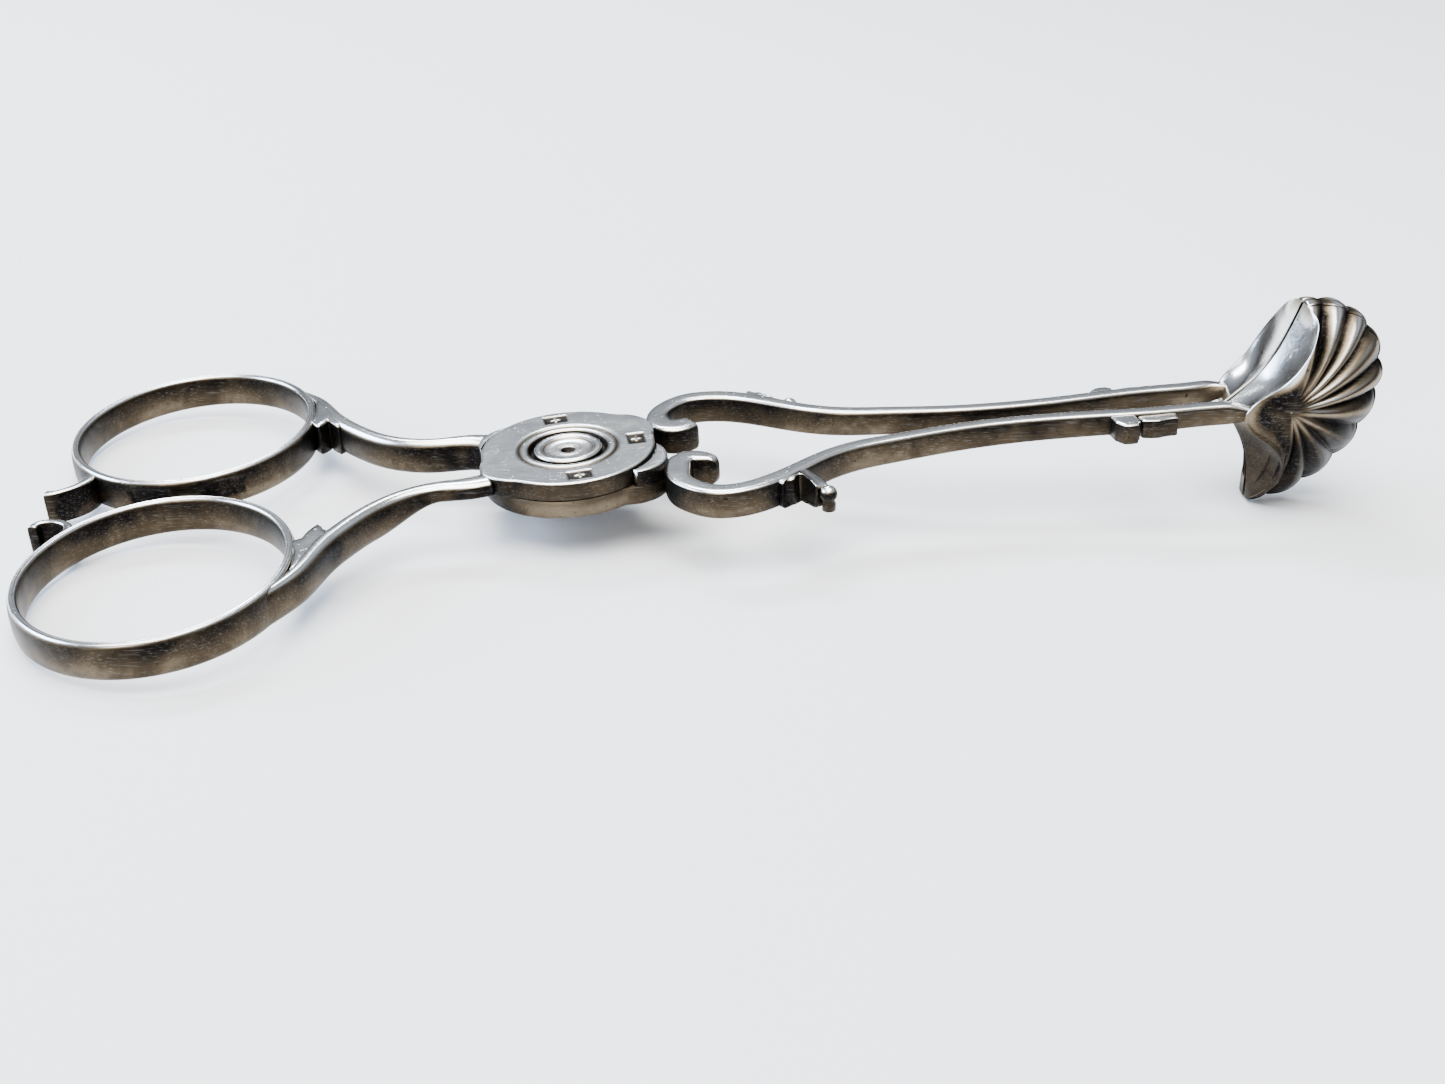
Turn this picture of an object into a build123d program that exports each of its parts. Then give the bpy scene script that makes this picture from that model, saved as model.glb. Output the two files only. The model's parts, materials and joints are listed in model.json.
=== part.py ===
"""Silver sugar nips: two cast arms that cross at a lap joint and swing on one rivet.

Each arm is a finger bow, a curved shank, one half of the lap joint, a C scroll, a slim bar
with two applied buds, and a fluted shell.  The upper arm carries the top half of the joint
and the lower arm the bottom half, so each arm changes sides at the pivot.

The pieces are drawn in the joint's own plane: the origin is on the pivot axis at the underside
of the arms, +X runs to the shells, +Z is up.  At the end everything is tipped by one angle,
so that the nips rest on the backs of the bows and the lower tips of the shells.
"""
import os
from math import atan2, cos, degrees, hypot, radians, sin

from build123d import *

os.makedirs("parts", exist_ok=True)

# ------------------------------------------------------------------ driving dimensions (mm)
disc_radius = 7.8            # both halves of the lap joint
disc_thickness = 3.4         # the two halves and the gap between them
lap_gap = 0.08               # between the two halves
swing_gap = 0.15             # around each half, inside the other arm's shoulders
shoulder_angle = 30.0        # direction of each shoulder from the long axis
shoulder_radius = 3.4
shoulder_rise = 0.9          # how far a shoulder stands out from the disc
bold_shoulder_rise = 1.7     # the lower arm's shoulder beside its scroll stands out further
shoulder_step = 0.2          # the lower arm's shoulders stand this much below the disc's face

rivet_radius = 1.5
rivet_clearance = 0.05       # running fit in the upper half
rivet_head_radius = 3.1
rivet_head_thickness = 0.75
head_recess_gap = 0.45       # ring of daylight around the head
head_lift_gap = 0.06         # under the head
dish_radius = 2.3
dish_depth = 0.45
centre_dimple_radius = 0.5
groove_radius = 4.6          # turned line on each face of the joint
groove_width = 0.28
groove_depth = 0.18
burr_radius = 2.8            # washer that the rivet is peened over, let into the underside
burr_thickness = 0.8

scroll_depth = 2.7           # height of the scrolls and of the bars beside them
bar_end_depth = 2.0          # height of the bars at the shells

bow_x = -34.6                # centre of each finger bow
bow_clearance = 1.3          # from each bow to the middle plane
bow_inner_length = 20.7      # opening along the nips
bow_inner_width = 23.7       # opening across the nips
bow_band = 1.05              # thickness of the band around the opening
bow_depth = 3.2
bow_edge_break = 0.4
heel_depth = 3.0
heel_width = 0.9
shank_merge = 34.0           # where the shank runs out along the bow, degrees round the bow
shank_merge_width = 1.0

shank_depth = 3.3
shank_width = 1.8
shank_root_width = 3.0
shank_root_gap = 0.5         # the shank's line starts this far outside the disc
shank_relief = 1.6           # the upper arm's shank is this much thinner, from below, by the joint
relief_start = 9.7           # the relief rises from this far behind the disc
relief_end = 3.7             # and has its full height from here
crotch_depth = 3.0
scroll_width = 1.9
scroll_back_width = 2.5
bar_width = 1.6
scroll_start = 1.6           # the scroll's stations are counted from this far past the disc
scroll_length = 7.0          # from there to where the scroll ends and the bar begins
scroll_shift = {1: -0.75, -1: -0.3}    # the curl and back lie this much further along x

spur_rise = {1: 0.5, -1: 3.6}    # how far the leaf spur stands out: worn down on the +Y bar
spur_start = 0.6             # from the start of the bar
spur_depth = 2.5
bud_rise = {1: 1.0, -1: 2.1}     # the same for the small bud near the shell
bud_before_shell = 13.6

shell_root_x = 61.4          # back edge of a shell, where the bar comes in
shell_length = 15.2
shell_top = 10.3             # height of the upper tip above the underside of the arms
shell_drop = 9.2             # drop of the lower tip below it
shell_lean = 4.0             # how much further forward the upper tip is than the lower one
shell_tip_x = 5.0            # middle of the two tips, from the back edge
shell_depth = 4.4            # from the rim to the crown
shell_gap = 0.22             # from the rim to the middle plane between the shells
shell_wall = 0.8
shell_lobes = 9
shell_lobe_height = 0.5

# ------------------------------------------------------------------ derived values
lap_thickness = (disc_thickness - lap_gap) / 2
bow_half_x = bow_inner_length / 2 + bow_band
bow_half_y = bow_inner_width / 2 + bow_band
bow_y = bow_half_y + bow_clearance
scroll_x = disc_radius + scroll_start
bar_split_x = scroll_x + scroll_length
bar_run = shell_root_x - bar_split_x
spur_x = bar_split_x + spur_start
bud_x = shell_root_x - bud_before_shell
trim_height = 2 * disc_thickness     # tall enough to cut through any piece


# ------------------------------------------------------------------ shared outlines
def band_edges(stations, side):
    """Left and right edge points of a band whose centre line and width are (x, y, width)."""
    left, right = [], []
    last = len(stations) - 1
    for i, (x, y, width) in enumerate(stations):
        x0, y0, _ = stations[max(i - 1, 0)]
        x1, y1, _ = stations[min(i + 1, last)]
        run = hypot(x1 - x0, y1 - y0)
        nx, ny = -(y1 - y0) / run, (x1 - x0) / run
        left.append((x + nx * width / 2, side * (y + ny * width / 2)))
        right.append((x - nx * width / 2, side * (y - ny * width / 2)))
    return left, right


def band(stations, side, height):
    """Prism over a smooth band, standing on the underside plane."""
    left, right = band_edges(stations, side)
    with BuildPart() as prism:
        with BuildSketch(Plane.XY):
            with BuildLine():
                Spline(*left)
                Spline(*right)
                Line(left[0], right[0])
                Line(left[-1], right[-1])
            make_face()
        extrude(amount=height)
    return prism.part


def bow_point(angle, inset=0.0):
    """Point of the bow's outer ellipse, or inside it by inset, for the +Y bow."""
    return (
        bow_x + (bow_half_x - inset) * cos(radians(angle)),
        bow_y + (bow_half_y - inset) * sin(radians(angle)),
    )


def bow_core(side):
    """Everything inside the bow's outer ellipse, used to trim what is soldered to the bow."""
    with BuildPart() as core:
        with BuildSketch(Plane.XY.offset(-trim_height)):
            with Locations((bow_x, side * bow_y)):
                Ellipse(bow_half_x, bow_half_y)
        extrude(amount=2 * trim_height)
    return core.part


def joint_core(side, end):
    """The swing circle of the joint and the shoulder, used to trim what meets the shoulder."""
    with BuildPart() as core:
        with BuildSketch(Plane.XY.offset(-trim_height)):
            Circle(disc_radius + swing_gap)
            with Locations(shoulder_point(side, end)):
                Circle(shoulder_radius)
        extrude(amount=2 * trim_height)
    return core.part


def shoulder_point(side, end):
    """Centre of a shoulder's arc: side is +Y or -Y, end is +1 to the shells, -1 to the bows."""
    rise = bold_shoulder_rise if (side, end) == (-1, 1) else shoulder_rise
    reach = disc_radius + rise - shoulder_radius
    return (
        end * reach * cos(radians(shoulder_angle)),
        side * reach * sin(radians(shoulder_angle)),
    )


# ------------------------------------------------------------------ centre lines (+Y side)
# The scroll and the bar share one line: curl, back, outer sweep, and the run to the shell.
# Each scroll station has the share of the side's scroll_shift that it takes.
scroll_stations = [
    (2.6, 3.7, 1.5, 1.0),
    (1.5, 3.35, 1.8, 1.0),
    (0.4, 3.9, scroll_back_width * 0.9, 1.0),
    (0.05, 5.2, scroll_back_width, 1.0),
    (0.2, 7.0, scroll_back_width * 0.85, 1.0),
    (1.2, 8.9, scroll_width, 0.8),
    (2.8, 10.15, scroll_width, 0.5),
    (4.8, 10.3, scroll_width, 0.2),
]
bar_stations = [
    (bar_split_x, 9.55, scroll_width),
    (bar_split_x + 0.058 * bar_run, 7.9, bar_width * 1.1),
    (bar_split_x + 0.127 * bar_run, 5.6, bar_width),
    (bar_split_x + 0.202 * bar_run, 3.95, bar_width),
    (bar_split_x + 0.289 * bar_run, 3.1, bar_width * 0.95),
    (bar_split_x + 0.402 * bar_run, 2.25, bar_width * 0.9),
    (bar_split_x + 0.569 * bar_run, 1.75, bar_width * 0.9),
    (bar_split_x + 0.74 * bar_run, 2.15, bar_width * 0.9),
    (bar_split_x + 0.858 * bar_run, 2.45, bar_width * 0.9),
    (bar_split_x + 0.958 * bar_run, 2.35, bar_width),
    (shell_root_x + 2.4, 2.5, bar_width * 1.2),
]


def grip_line(side):
    """The shared line on one side, its curl and back shifted as that side's scroll is."""
    line = []
    for x, y, width, share in scroll_stations:
        line.append((scroll_x + x + share * scroll_shift[side], y, width))
    return line + bar_stations


def shank_line():
    """From the shoulder, round the outside of the crotch, to where it runs out on the bow.

    The stations between are shares of the way from the first to the last, along x and along y.
    """
    root_x = (disc_radius + shank_root_gap) * cos(radians(180 - shoulder_angle))
    root_y = (disc_radius + shank_root_gap) * sin(radians(180 - shoulder_angle))
    merge_x, merge_y = bow_point(shank_merge, shank_merge_width / 2)
    between = [
        (0.206, 0.006, shank_width),
        (0.354, 0.045, shank_width),
        (0.513, 0.157, shank_width),
        (0.644, 0.321, shank_width * 1.05),
        (0.764, 0.532, shank_width * 1.1),
        (0.860, 0.786, shank_width * 0.9),
    ]
    line = [(root_x, root_y, shank_root_width)]
    for along, across, width in between:
        x = root_x + along * (merge_x - root_x)
        y = root_y + across * (merge_y - root_y)
        line.append((x, y, width))
    line.append((merge_x, merge_y, shank_merge_width))
    return line


# ------------------------------------------------------------------ the pieces of one arm
def make_bow(side):
    """Oval finger loop with softened edges."""
    with BuildPart() as bow:
        with BuildSketch(Plane.XY):
            with Locations((bow_x, side * bow_y)):
                Ellipse(bow_half_x, bow_half_y)
                Ellipse(bow_inner_length / 2, bow_inner_width / 2, mode=Mode.SUBTRACT)
        extrude(amount=bow_depth)
        chamfer(bow.edges(), length=bow_edge_break)
    return bow


def make_heel_scroll(side):
    """Small horn on the rear inner side of the bow, curling back and away from the middle."""
    start_x, start_y = bow_point(222)
    line = [
        (start_x + 1.3, start_y + 1.4, heel_width * 1.6),
        (start_x + 0.1, start_y - 0.9, heel_width * 1.2),
        (start_x - 0.9, start_y - 2.1, heel_width),
        (start_x - 2.2, start_y - 2.7, heel_width),
        (start_x - 3.5, start_y - 2.6, heel_width * 1.2),
    ]
    with BuildPart() as heel:
        add(band(line, side, heel_depth))
        add(bow_core(side), mode=Mode.SUBTRACT)
    return heel


def make_shank(side, relief):
    """Curved bar from the joint's shoulder to the outer front of the bow."""
    with BuildPart() as shank:
        add(band(shank_line(), side, shank_depth))
        add(bow_core(side), mode=Mode.SUBTRACT)
        add(joint_core(side, -1), mode=Mode.SUBTRACT)
        if relief:
            with BuildSketch(Plane.XZ):
                with BuildLine():
                    Polyline(
                        (-disc_radius - relief_start, 0),
                        (-disc_radius - relief_end, relief),
                        (0, relief),
                        (0, 0),
                        close=True,
                    )
                make_face()
            extrude(amount=bow_half_y * 4, both=True, mode=Mode.SUBTRACT)
    return shank


def make_crotch_leaf(side, shank):
    """Cusped leaf soldered in the crotch between the bow and the shank."""
    corner_x, corner_y = bow_point(0)
    outline = [
        (corner_x + 0.2, side * (corner_y - 0.3)),
        (corner_x - 0.4, side * (corner_y - 2.1)),
        (corner_x + 0.4, side * (corner_y - 3.2)),
        (corner_x + 1.5, side * (corner_y - 4.6)),
        (corner_x + 1.6, side * (corner_y - 3.0)),
        (corner_x + 1.7, side * (corner_y - 1.2)),
    ]
    with BuildPart() as leaf:
        with BuildSketch(Plane.XY):
            with BuildLine():
                Polyline(*outline, close=True)
            make_face()
        extrude(amount=crotch_depth)
        add(bow_core(side), mode=Mode.SUBTRACT)
        add(shank.part, mode=Mode.SUBTRACT)
    return leaf


def make_lap(grip_side, upper):
    """Half of the joint's disc, with a shoulder for the shank and one for the scroll.

    The upper half's shoulder for the shank is only as thick as that half, like the shank there.
    """
    low = disc_thickness - lap_thickness if upper else 0
    shoulder_top = disc_thickness if upper else disc_thickness - shoulder_step
    spots = [shoulder_point(grip_side, 1), shoulder_point(-grip_side, -1)]
    tall = spots[:1] if upper else spots
    with BuildPart() as lap:
        with BuildSketch(Plane.XY):
            with Locations(*tall):
                Circle(shoulder_radius)
        extrude(amount=shoulder_top)
        with BuildSketch(Plane.XY):
            Circle(disc_radius + swing_gap)
        extrude(amount=disc_thickness, mode=Mode.SUBTRACT)
        with BuildSketch(Plane.XY.offset(low)):
            Circle(disc_radius)
            with Locations(*spots):
                Circle(shoulder_radius)
        extrude(amount=lap_thickness)
        with BuildSketch(Plane.XY):
            Circle(rivet_radius + (rivet_clearance if upper else 0))
        extrude(amount=disc_thickness, mode=Mode.SUBTRACT)
        if upper:
            recess = rivet_head_thickness
            with BuildSketch(Plane.XY.offset(disc_thickness - recess)):
                Circle(rivet_head_radius + head_recess_gap)
            extrude(amount=recess, mode=Mode.SUBTRACT)
            groove_floor = disc_thickness - groove_depth
        else:
            with BuildSketch(Plane.XY):
                Circle(burr_radius)
            extrude(amount=burr_thickness, mode=Mode.SUBTRACT)
            groove_floor = 0
        with BuildSketch(Plane.XY.offset(groove_floor)):
            Circle(groove_radius)
            Circle(groove_radius - groove_width, mode=Mode.SUBTRACT)
        extrude(amount=groove_depth, mode=Mode.SUBTRACT)
    return lap


def grip_band(side, keep):
    """The shared band of scroll and bar, its top sloping down to the shell, cut at the split."""
    line = grip_line(side)
    tip_x, tip_y, tip_width = line[0]
    end_x = line[-1][0]
    with BuildPart() as grip:
        add(band(line, side, scroll_depth))
        with BuildSketch(Plane.XY):
            with Locations((tip_x, side * tip_y)):
                Circle(tip_width / 2)
        extrude(amount=scroll_depth)
        with BuildSketch(Plane.XZ):
            with BuildLine():
                Polyline(
                    (bar_split_x, scroll_depth),
                    (end_x, bar_end_depth),
                    (end_x + bar_width, bar_end_depth),
                    (end_x + bar_width, trim_height),
                    (bar_split_x, trim_height),
                    close=True,
                )
            make_face()
        extrude(amount=bow_half_y * 4, both=True, mode=Mode.SUBTRACT)
        split(bisect_by=Plane.YZ.offset(bar_split_x), keep=keep)
    return grip.part


def make_scroll(side):
    """C scroll: a short curl by the middle, a thick back on the shoulder, an outer sweep."""
    with BuildPart() as scroll:
        add(grip_band(side, Keep.BOTTOM))
        add(joint_core(side, 1), mode=Mode.SUBTRACT)
    return scroll


def make_bar(side):
    """Slim bar from the scroll to the back of the shell."""
    with BuildPart() as bar:
        add(grip_band(side, Keep.TOP))
        add(shell_form(side, 0.0), mode=Mode.SUBTRACT)
    return bar


def bar_outer_y(x):
    """Outer edge of the bar at x, by straight lines between its stations."""
    for (x0, y0, w0), (x1, y1, w1) in zip(bar_stations, bar_stations[1:]):
        if x0 <= x <= x1:
            share = (x - x0) / (x1 - x0)
            return y0 + w0 / 2 + share * (y1 + w1 / 2 - y0 - w0 / 2)
    return bar_stations[-1][1]


def make_leaf_spur(side):
    """Two small cusps and one long thorn with a round tip, on the outer side of the bar."""
    rise = spur_rise[side]
    tip = (spur_x + 4.3, side * (bar_outer_y(spur_x + 3.6) + rise))
    outline = [
        (spur_x, side * (bar_outer_y(spur_x) - 0.9)),
        (spur_x + 0.8, side * (bar_outer_y(spur_x + 0.8) + 0.9)),
        (spur_x + 1.2, side * (bar_outer_y(spur_x + 1.2) + 0.5)),
        (spur_x + 1.9, side * (bar_outer_y(spur_x + 1.9) + 1.0)),
        (spur_x + 2.5, side * (bar_outer_y(spur_x + 2.5) + 0.6)),
        (tip[0] - 0.7, tip[1] - side * 0.2),
        (tip[0] + 0.5, tip[1] - side * 0.6),
        (spur_x + 4.0, side * (bar_outer_y(spur_x + 4.0) + 0.3)),
        (spur_x + 4.3, side * (bar_outer_y(spur_x + 4.3) - 0.9)),
    ]
    with BuildPart() as spur:
        with BuildSketch(Plane.XY):
            with BuildLine():
                Polyline(*outline, close=True)
            make_face()
            with Locations(tip):
                Circle(0.7)
        extrude(amount=spur_depth)
        add(band(grip_line(side), side, trim_height), mode=Mode.SUBTRACT)
    return spur


def make_bud(side):
    """Faceted bud on the outer side of the bar, a little before the shell."""
    rise = bud_rise[side]
    steps = [(0.0, -0.8), (0.9, 0.3), (1.8, 0.35), (2.8, 1.0), (4.0, 0.75), (6.4, 0.6), (8.4, -0.8)]
    outline = []
    for along, share in steps:
        height = share * rise if share > 0 else share
        outline.append((bud_x + along, side * (bar_outer_y(bud_x + along) + height)))
    with BuildPart() as bud:
        with BuildSketch(Plane.XY):
            with BuildLine():
                Polyline(*outline, close=True)
            make_face()
        extrude(amount=bar_end_depth)
        add(band(grip_line(side), side, trim_height), mode=Mode.SUBTRACT)
    return bud


# ------------------------------------------------------------------ the shells
shell_crown = (shell_root_x + 3.4, 0.9)      # top of the dome, x and z
shell_tip_up = (shell_root_x + shell_tip_x + shell_lean / 2, shell_top)
shell_tip_down = (shell_root_x + shell_tip_x - shell_lean / 2, -shell_drop)
shell_front_x = shell_root_x + shell_length


def fan_rim():
    """Rim of the fan: two plain back edges and a scalloped front, as three point lists."""
    root = (shell_root_x, 0.7)
    upper_back = [root, (shell_root_x + 3.6, 3.9), shell_tip_up]
    lower_back = [root, (shell_root_x + 2.6, -4.2), shell_tip_down]
    centre_x = (shell_tip_up[0] + shell_tip_down[0]) / 2
    centre_z = (shell_tip_up[1] + shell_tip_down[1]) / 2
    half_height = hypot(shell_tip_up[0] - centre_x, shell_tip_up[1] - centre_z)
    lean = atan2(shell_tip_up[0] - centre_x, shell_tip_up[1] - centre_z)
    reach = shell_front_x - centre_x
    front = [shell_tip_up]
    count = 2 * shell_lobes
    for i in range(1, count):
        turn = radians(90 - 180 * i / count)
        bulge = shell_lobe_height if i % 2 else 0.0
        forward = (reach - shell_lobe_height + bulge) * cos(turn)
        across = (half_height + bulge) * sin(turn)
        x = centre_x + forward * cos(lean * abs(sin(turn))) + across * sin(lean)
        front.append((x, centre_z + across * cos(lean)))
    front.append(shell_tip_down)
    return upper_back, front, lower_back


def fan_section(depth, share, side):
    """One section of the shell at a given depth: the rim drawn in towards the crown."""
    cx, cz = shell_crown
    with BuildSketch(Plane.XZ.offset(-side * depth)) as section:
        with BuildLine():
            for points in fan_rim():
                Spline(*[(cx + share * (x - cx), cz + share * (z - cz)) for x, z in points])
        make_face()
    return section.sketch


def shell_form(side, inset):
    """Solid dome over the rim; inset gives the smaller dome of the hollow."""
    profile = [(0.0, 1.0), (0.35, 0.95), (0.68, 0.8), (0.9, 0.57), (1.0, 0.3)]
    height = shell_depth - inset
    mouth = -0.5 if inset else 0.0
    cx = shell_crown[0]
    narrow = 1 - inset / (shell_front_x - cx) if inset else 1.0
    tight = 1 - 1.6 * inset / (cx - shell_root_x) if inset else 1.0
    shrink = (narrow + tight) / 2
    sections = []
    for rise, share in profile:
        depth = shell_gap + rise * height
        if rise == 0.0:
            depth += mouth
        sections.append(fan_section(depth, share * shrink, side))
    with BuildPart() as form:
        loft(sections=sections)
    return form.part


def make_shell(side):
    """Hollow fluted shell, open to the middle plane."""
    with BuildPart() as shell:
        add(shell_form(side, 0.0))
        add(shell_form(side, shell_wall), mode=Mode.SUBTRACT)
    return shell


# ------------------------------------------------------------------ the pivot
def make_rivet():
    """Rivet with a dished head that lies in the recess of the upper half."""
    head_low = disc_thickness - rivet_head_thickness + head_lift_gap
    with BuildPart() as rivet:
        with BuildSketch(Plane.XY):
            Circle(rivet_radius)
        extrude(amount=head_low)
        with BuildSketch(Plane.XY.offset(head_low)):
            Circle(rivet_head_radius)
        extrude(amount=disc_thickness - head_low)
        with BuildSketch(Plane.XY.offset(disc_thickness - dish_depth)):
            Circle(dish_radius * 0.55)
        with BuildSketch(Plane.XY.offset(disc_thickness)):
            Circle(dish_radius)
        loft(mode=Mode.SUBTRACT)
        with BuildSketch(Plane.XY.offset(disc_thickness - 2 * dish_depth)):
            Circle(centre_dimple_radius)
        extrude(amount=dish_depth, mode=Mode.SUBTRACT)
    return rivet


def make_burr():
    """Washer in the underside of the lower half, that the rivet's end is spread over."""
    with BuildPart() as burr:
        with BuildSketch(Plane.XY):
            Circle(burr_radius)
            Circle(rivet_radius, mode=Mode.SUBTRACT)
        extrude(amount=burr_thickness)
    return burr


# ------------------------------------------------------------------ both arms
pieces = {"pivot_rivet": make_rivet(), "rivet_burr": make_burr()}
for arm, bow_side in (("upper", -1), ("lower", 1)):
    grip_side = -bow_side
    shank = make_shank(bow_side, shank_relief if arm == "upper" else 0)
    pieces[f"{arm}_bow"] = make_bow(bow_side)
    pieces[f"{arm}_heel_scroll"] = make_heel_scroll(bow_side)
    pieces[f"{arm}_shank"] = shank
    pieces[f"{arm}_crotch_leaf"] = make_crotch_leaf(bow_side, shank)
    pieces[f"{arm}_lap"] = make_lap(grip_side, arm == "upper")
    pieces[f"{arm}_scroll"] = make_scroll(grip_side)
    pieces[f"{arm}_bar"] = make_bar(grip_side)
    pieces[f"{arm}_leaf_spur"] = make_leaf_spur(grip_side)
    pieces[f"{arm}_bud"] = make_bud(grip_side)
    pieces[f"{arm}_shell"] = make_shell(grip_side)

# ------------------------------------------------------------------ tipped to rest, and written
heel_x = bow_x - bow_half_x + bow_edge_break
tip_angle = degrees(atan2(-shell_tip_down[1], shell_tip_down[0] - heel_x))
tipped = Location((0, 0, 0), (0, -tip_angle, 0))
box = Compound(children=[tipped * piece.part for piece in pieces.values()]).bounding_box()
middle = box.center()
seat = Location((-middle.X, -middle.Y, -box.min.Z)) * tipped

for name, piece in pieces.items():
    placed = seat * piece.part
    placed.label = name
    export_step(placed, f"parts/{name}.step")

pivot = seat * Location((0, 0, 0))
print("overall size", box.size)
print("tipped by", tip_angle, "degrees; pivot at", pivot.position)
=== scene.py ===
# %% [markdown]
# # Silver sugar nips
# These nips are two cast silver arms that cross at a lap joint.  Every visible piece is a
# surface computed with numpy in the plane of the joint, and then tipped into its resting
# place.  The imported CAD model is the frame: it says where each piece is and what it rides on.

# %% Load the frame
import json
import math

import bpy
import numpy as np
from mathutils import Matrix


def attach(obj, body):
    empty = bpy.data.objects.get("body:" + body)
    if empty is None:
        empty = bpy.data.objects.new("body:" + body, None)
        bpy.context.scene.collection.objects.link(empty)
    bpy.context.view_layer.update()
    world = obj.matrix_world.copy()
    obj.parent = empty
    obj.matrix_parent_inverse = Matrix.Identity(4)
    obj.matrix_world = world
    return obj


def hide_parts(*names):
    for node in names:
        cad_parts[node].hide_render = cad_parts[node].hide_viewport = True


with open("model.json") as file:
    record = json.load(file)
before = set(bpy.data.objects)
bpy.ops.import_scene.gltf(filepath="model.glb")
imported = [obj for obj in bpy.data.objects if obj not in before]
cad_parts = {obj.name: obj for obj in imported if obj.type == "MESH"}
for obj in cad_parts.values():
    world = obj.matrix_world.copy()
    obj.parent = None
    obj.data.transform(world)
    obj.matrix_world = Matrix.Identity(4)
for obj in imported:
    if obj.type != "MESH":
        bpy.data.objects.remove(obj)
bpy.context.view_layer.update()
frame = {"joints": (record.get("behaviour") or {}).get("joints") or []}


def placed(name, data):
    """New object of the data, linked into the scene."""
    thing = bpy.data.objects.new(name, data)
    bpy.context.collection.objects.link(thing)
    return thing


def unit(vectors):
    """The vectors scaled to length 1."""
    return vectors / np.linalg.norm(vectors, axis=-1, keepdims=True)


# %% [markdown]
# The nips rest on the backs of the bows and the lower tips of the shells, so the joint's plane
# is tipped by a few degrees.  Shapes are simplest in that plane, in millimetres, with the
# pivot at the origin, +X to the shells and +Z up along the rivet.  The frame's one hinge gives
# the plane: its axis is the plane's normal, and its place is halfway up the joint.

# %% From the joint's plane to the row
MM = 0.001
DISC_THICKNESS = 3.4
hinge = frame["joints"][0]
up = np.array(hinge["axis"], float)
ahead = np.array([up[2], 0.0, -up[0]])
plane = np.stack([ahead, [0.0, 1.0, 0.0], up])
pivot = np.array(hinge["pos_m"], float) / MM - DISC_THICKNESS / 2 * up


def in_row(points):
    """Row place in metres of points in the joint's plane: pivot + x*ahead + y*across + z*up."""
    return (pivot + np.asarray(points, float) @ plane) * MM


print("hinge", hinge["name"], "tip angle", round(math.degrees(math.atan2(-up[0], up[2])), 2))

# %% [markdown]
# A camera is a place and three directions.  Forward comes from a bearing and a downward
# angle, right and up are square to it, and a small roll turns them about it.

# %% Camera
EYE = (-3.3487, -146.562, 69.842)
BEARING, DOWN, ROLL = -6.554, 27.83, -3.208
LENS, SENSOR = 44.386, 36.0

bearing, down, roll = np.radians([BEARING, DOWN, ROLL])
forward = np.array(
    [-math.sin(bearing) * math.cos(down), math.cos(bearing) * math.cos(down), -math.sin(down)]
)
right = unit(np.cross(forward, [0.0, 0.0, 1.0]))
above = np.cross(right, forward)
rolled_right = math.cos(roll) * right + math.sin(roll) * above
rolled_up = -math.sin(roll) * right + math.cos(roll) * above
camera = placed("camera", bpy.data.cameras.new("camera"))
turn = (np.stack([rolled_right, rolled_up, -forward]) @ plane).T
camera.matrix_world = Matrix.Translation(in_row(EYE)) @ Matrix(turn.tolist()).to_4x4()
camera.data.lens = LENS
camera.data.sensor_width = SENSOR
camera.data.clip_start = 0.005
bpy.context.scene.camera = camera
print("camera at", [round(v, 4) for v in in_row(EYE)])

# %% [markdown]
# Silver shows what stands round it, so the light matters as much as the metal.  The floor is
# plain and pale.  A cool softbox stands behind and above, where the flat tops look, a large
# one hangs overhead, a low cool one on the left lights the ears of the shells, and a weak
# warm one fills the front.  The sky is dim and brown at the horizon, which gives the rounded
# sides their dark lines, and has a bright cool band above.  Seen directly, beyond the
# floor's edge, it is a plain pale backdrop.

# %% Floor and sky
FLOOR_HALF = 1.6
FLOOR_COLOUR = (0.86, 0.86, 0.86, 1)
BACKDROP = (0.74, 0.76, 0.78)
SKY_STOPS = [    # height above the horizon, colour
    (0.0, (0.035, 0.026, 0.02)),
    (0.16, (0.06, 0.05, 0.042)),
    (0.33, (0.22, 0.245, 0.28)),
    (0.52, (0.32, 0.355, 0.41)),
    (0.6, (0.66, 0.72, 0.81)),
    (0.72, (0.5, 0.55, 0.62)),
    (1.0, (0.16, 0.17, 0.19)),
]
COLOUR_A, COLOUR_B, COLOUR_OUT = 6, 7, 2    # numbers of a Mix node's colour sockets


def mixed(group, share, first, second):
    """Colour mix by share, over sockets or plain colours."""
    node = group.nodes.new("ShaderNodeMix")
    node.data_type = "RGBA"
    group.links.new(share, node.inputs["Factor"])
    for slot, value in ((node.inputs[COLOUR_A], first), (node.inputs[COLOUR_B], second)):
        if isinstance(value, tuple):
            slot.default_value = (*value, 1)
        else:
            group.links.new(value, slot)
    return node.outputs[COLOUR_OUT]


def ramp(group, position, stops):
    """Colour read at a socket from stops, each a position and a colour."""
    node = group.nodes.new("ShaderNodeValToRGB")
    elements = node.color_ramp.elements
    while len(elements) < len(stops):
        elements.new(1.0)
    for element, (place, colour) in zip(elements, stops):
        element.position, element.color = place, (*colour, 1)
    group.links.new(position, node.inputs["Fac"])
    return node.outputs["Color"]


corners = [(-1, -1), (1, -1), (1, 1), (-1, 1)]
floor_mesh = bpy.data.meshes.new("floor")
floor_mesh.from_pydata([(FLOOR_HALF * x, FLOOR_HALF * y, 0) for x, y in corners], [], [range(4)])
floor = placed("floor", floor_mesh)
floor_finish = bpy.data.materials.new("pale_floor")
floor_finish.use_nodes = True
floor_shader = floor_finish.node_tree.nodes["Principled BSDF"]
floor_shader.inputs["Base Color"].default_value = FLOOR_COLOUR
floor_shader.inputs["Roughness"].default_value = 0.9
floor_mesh.materials.append(floor_finish)

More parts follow.
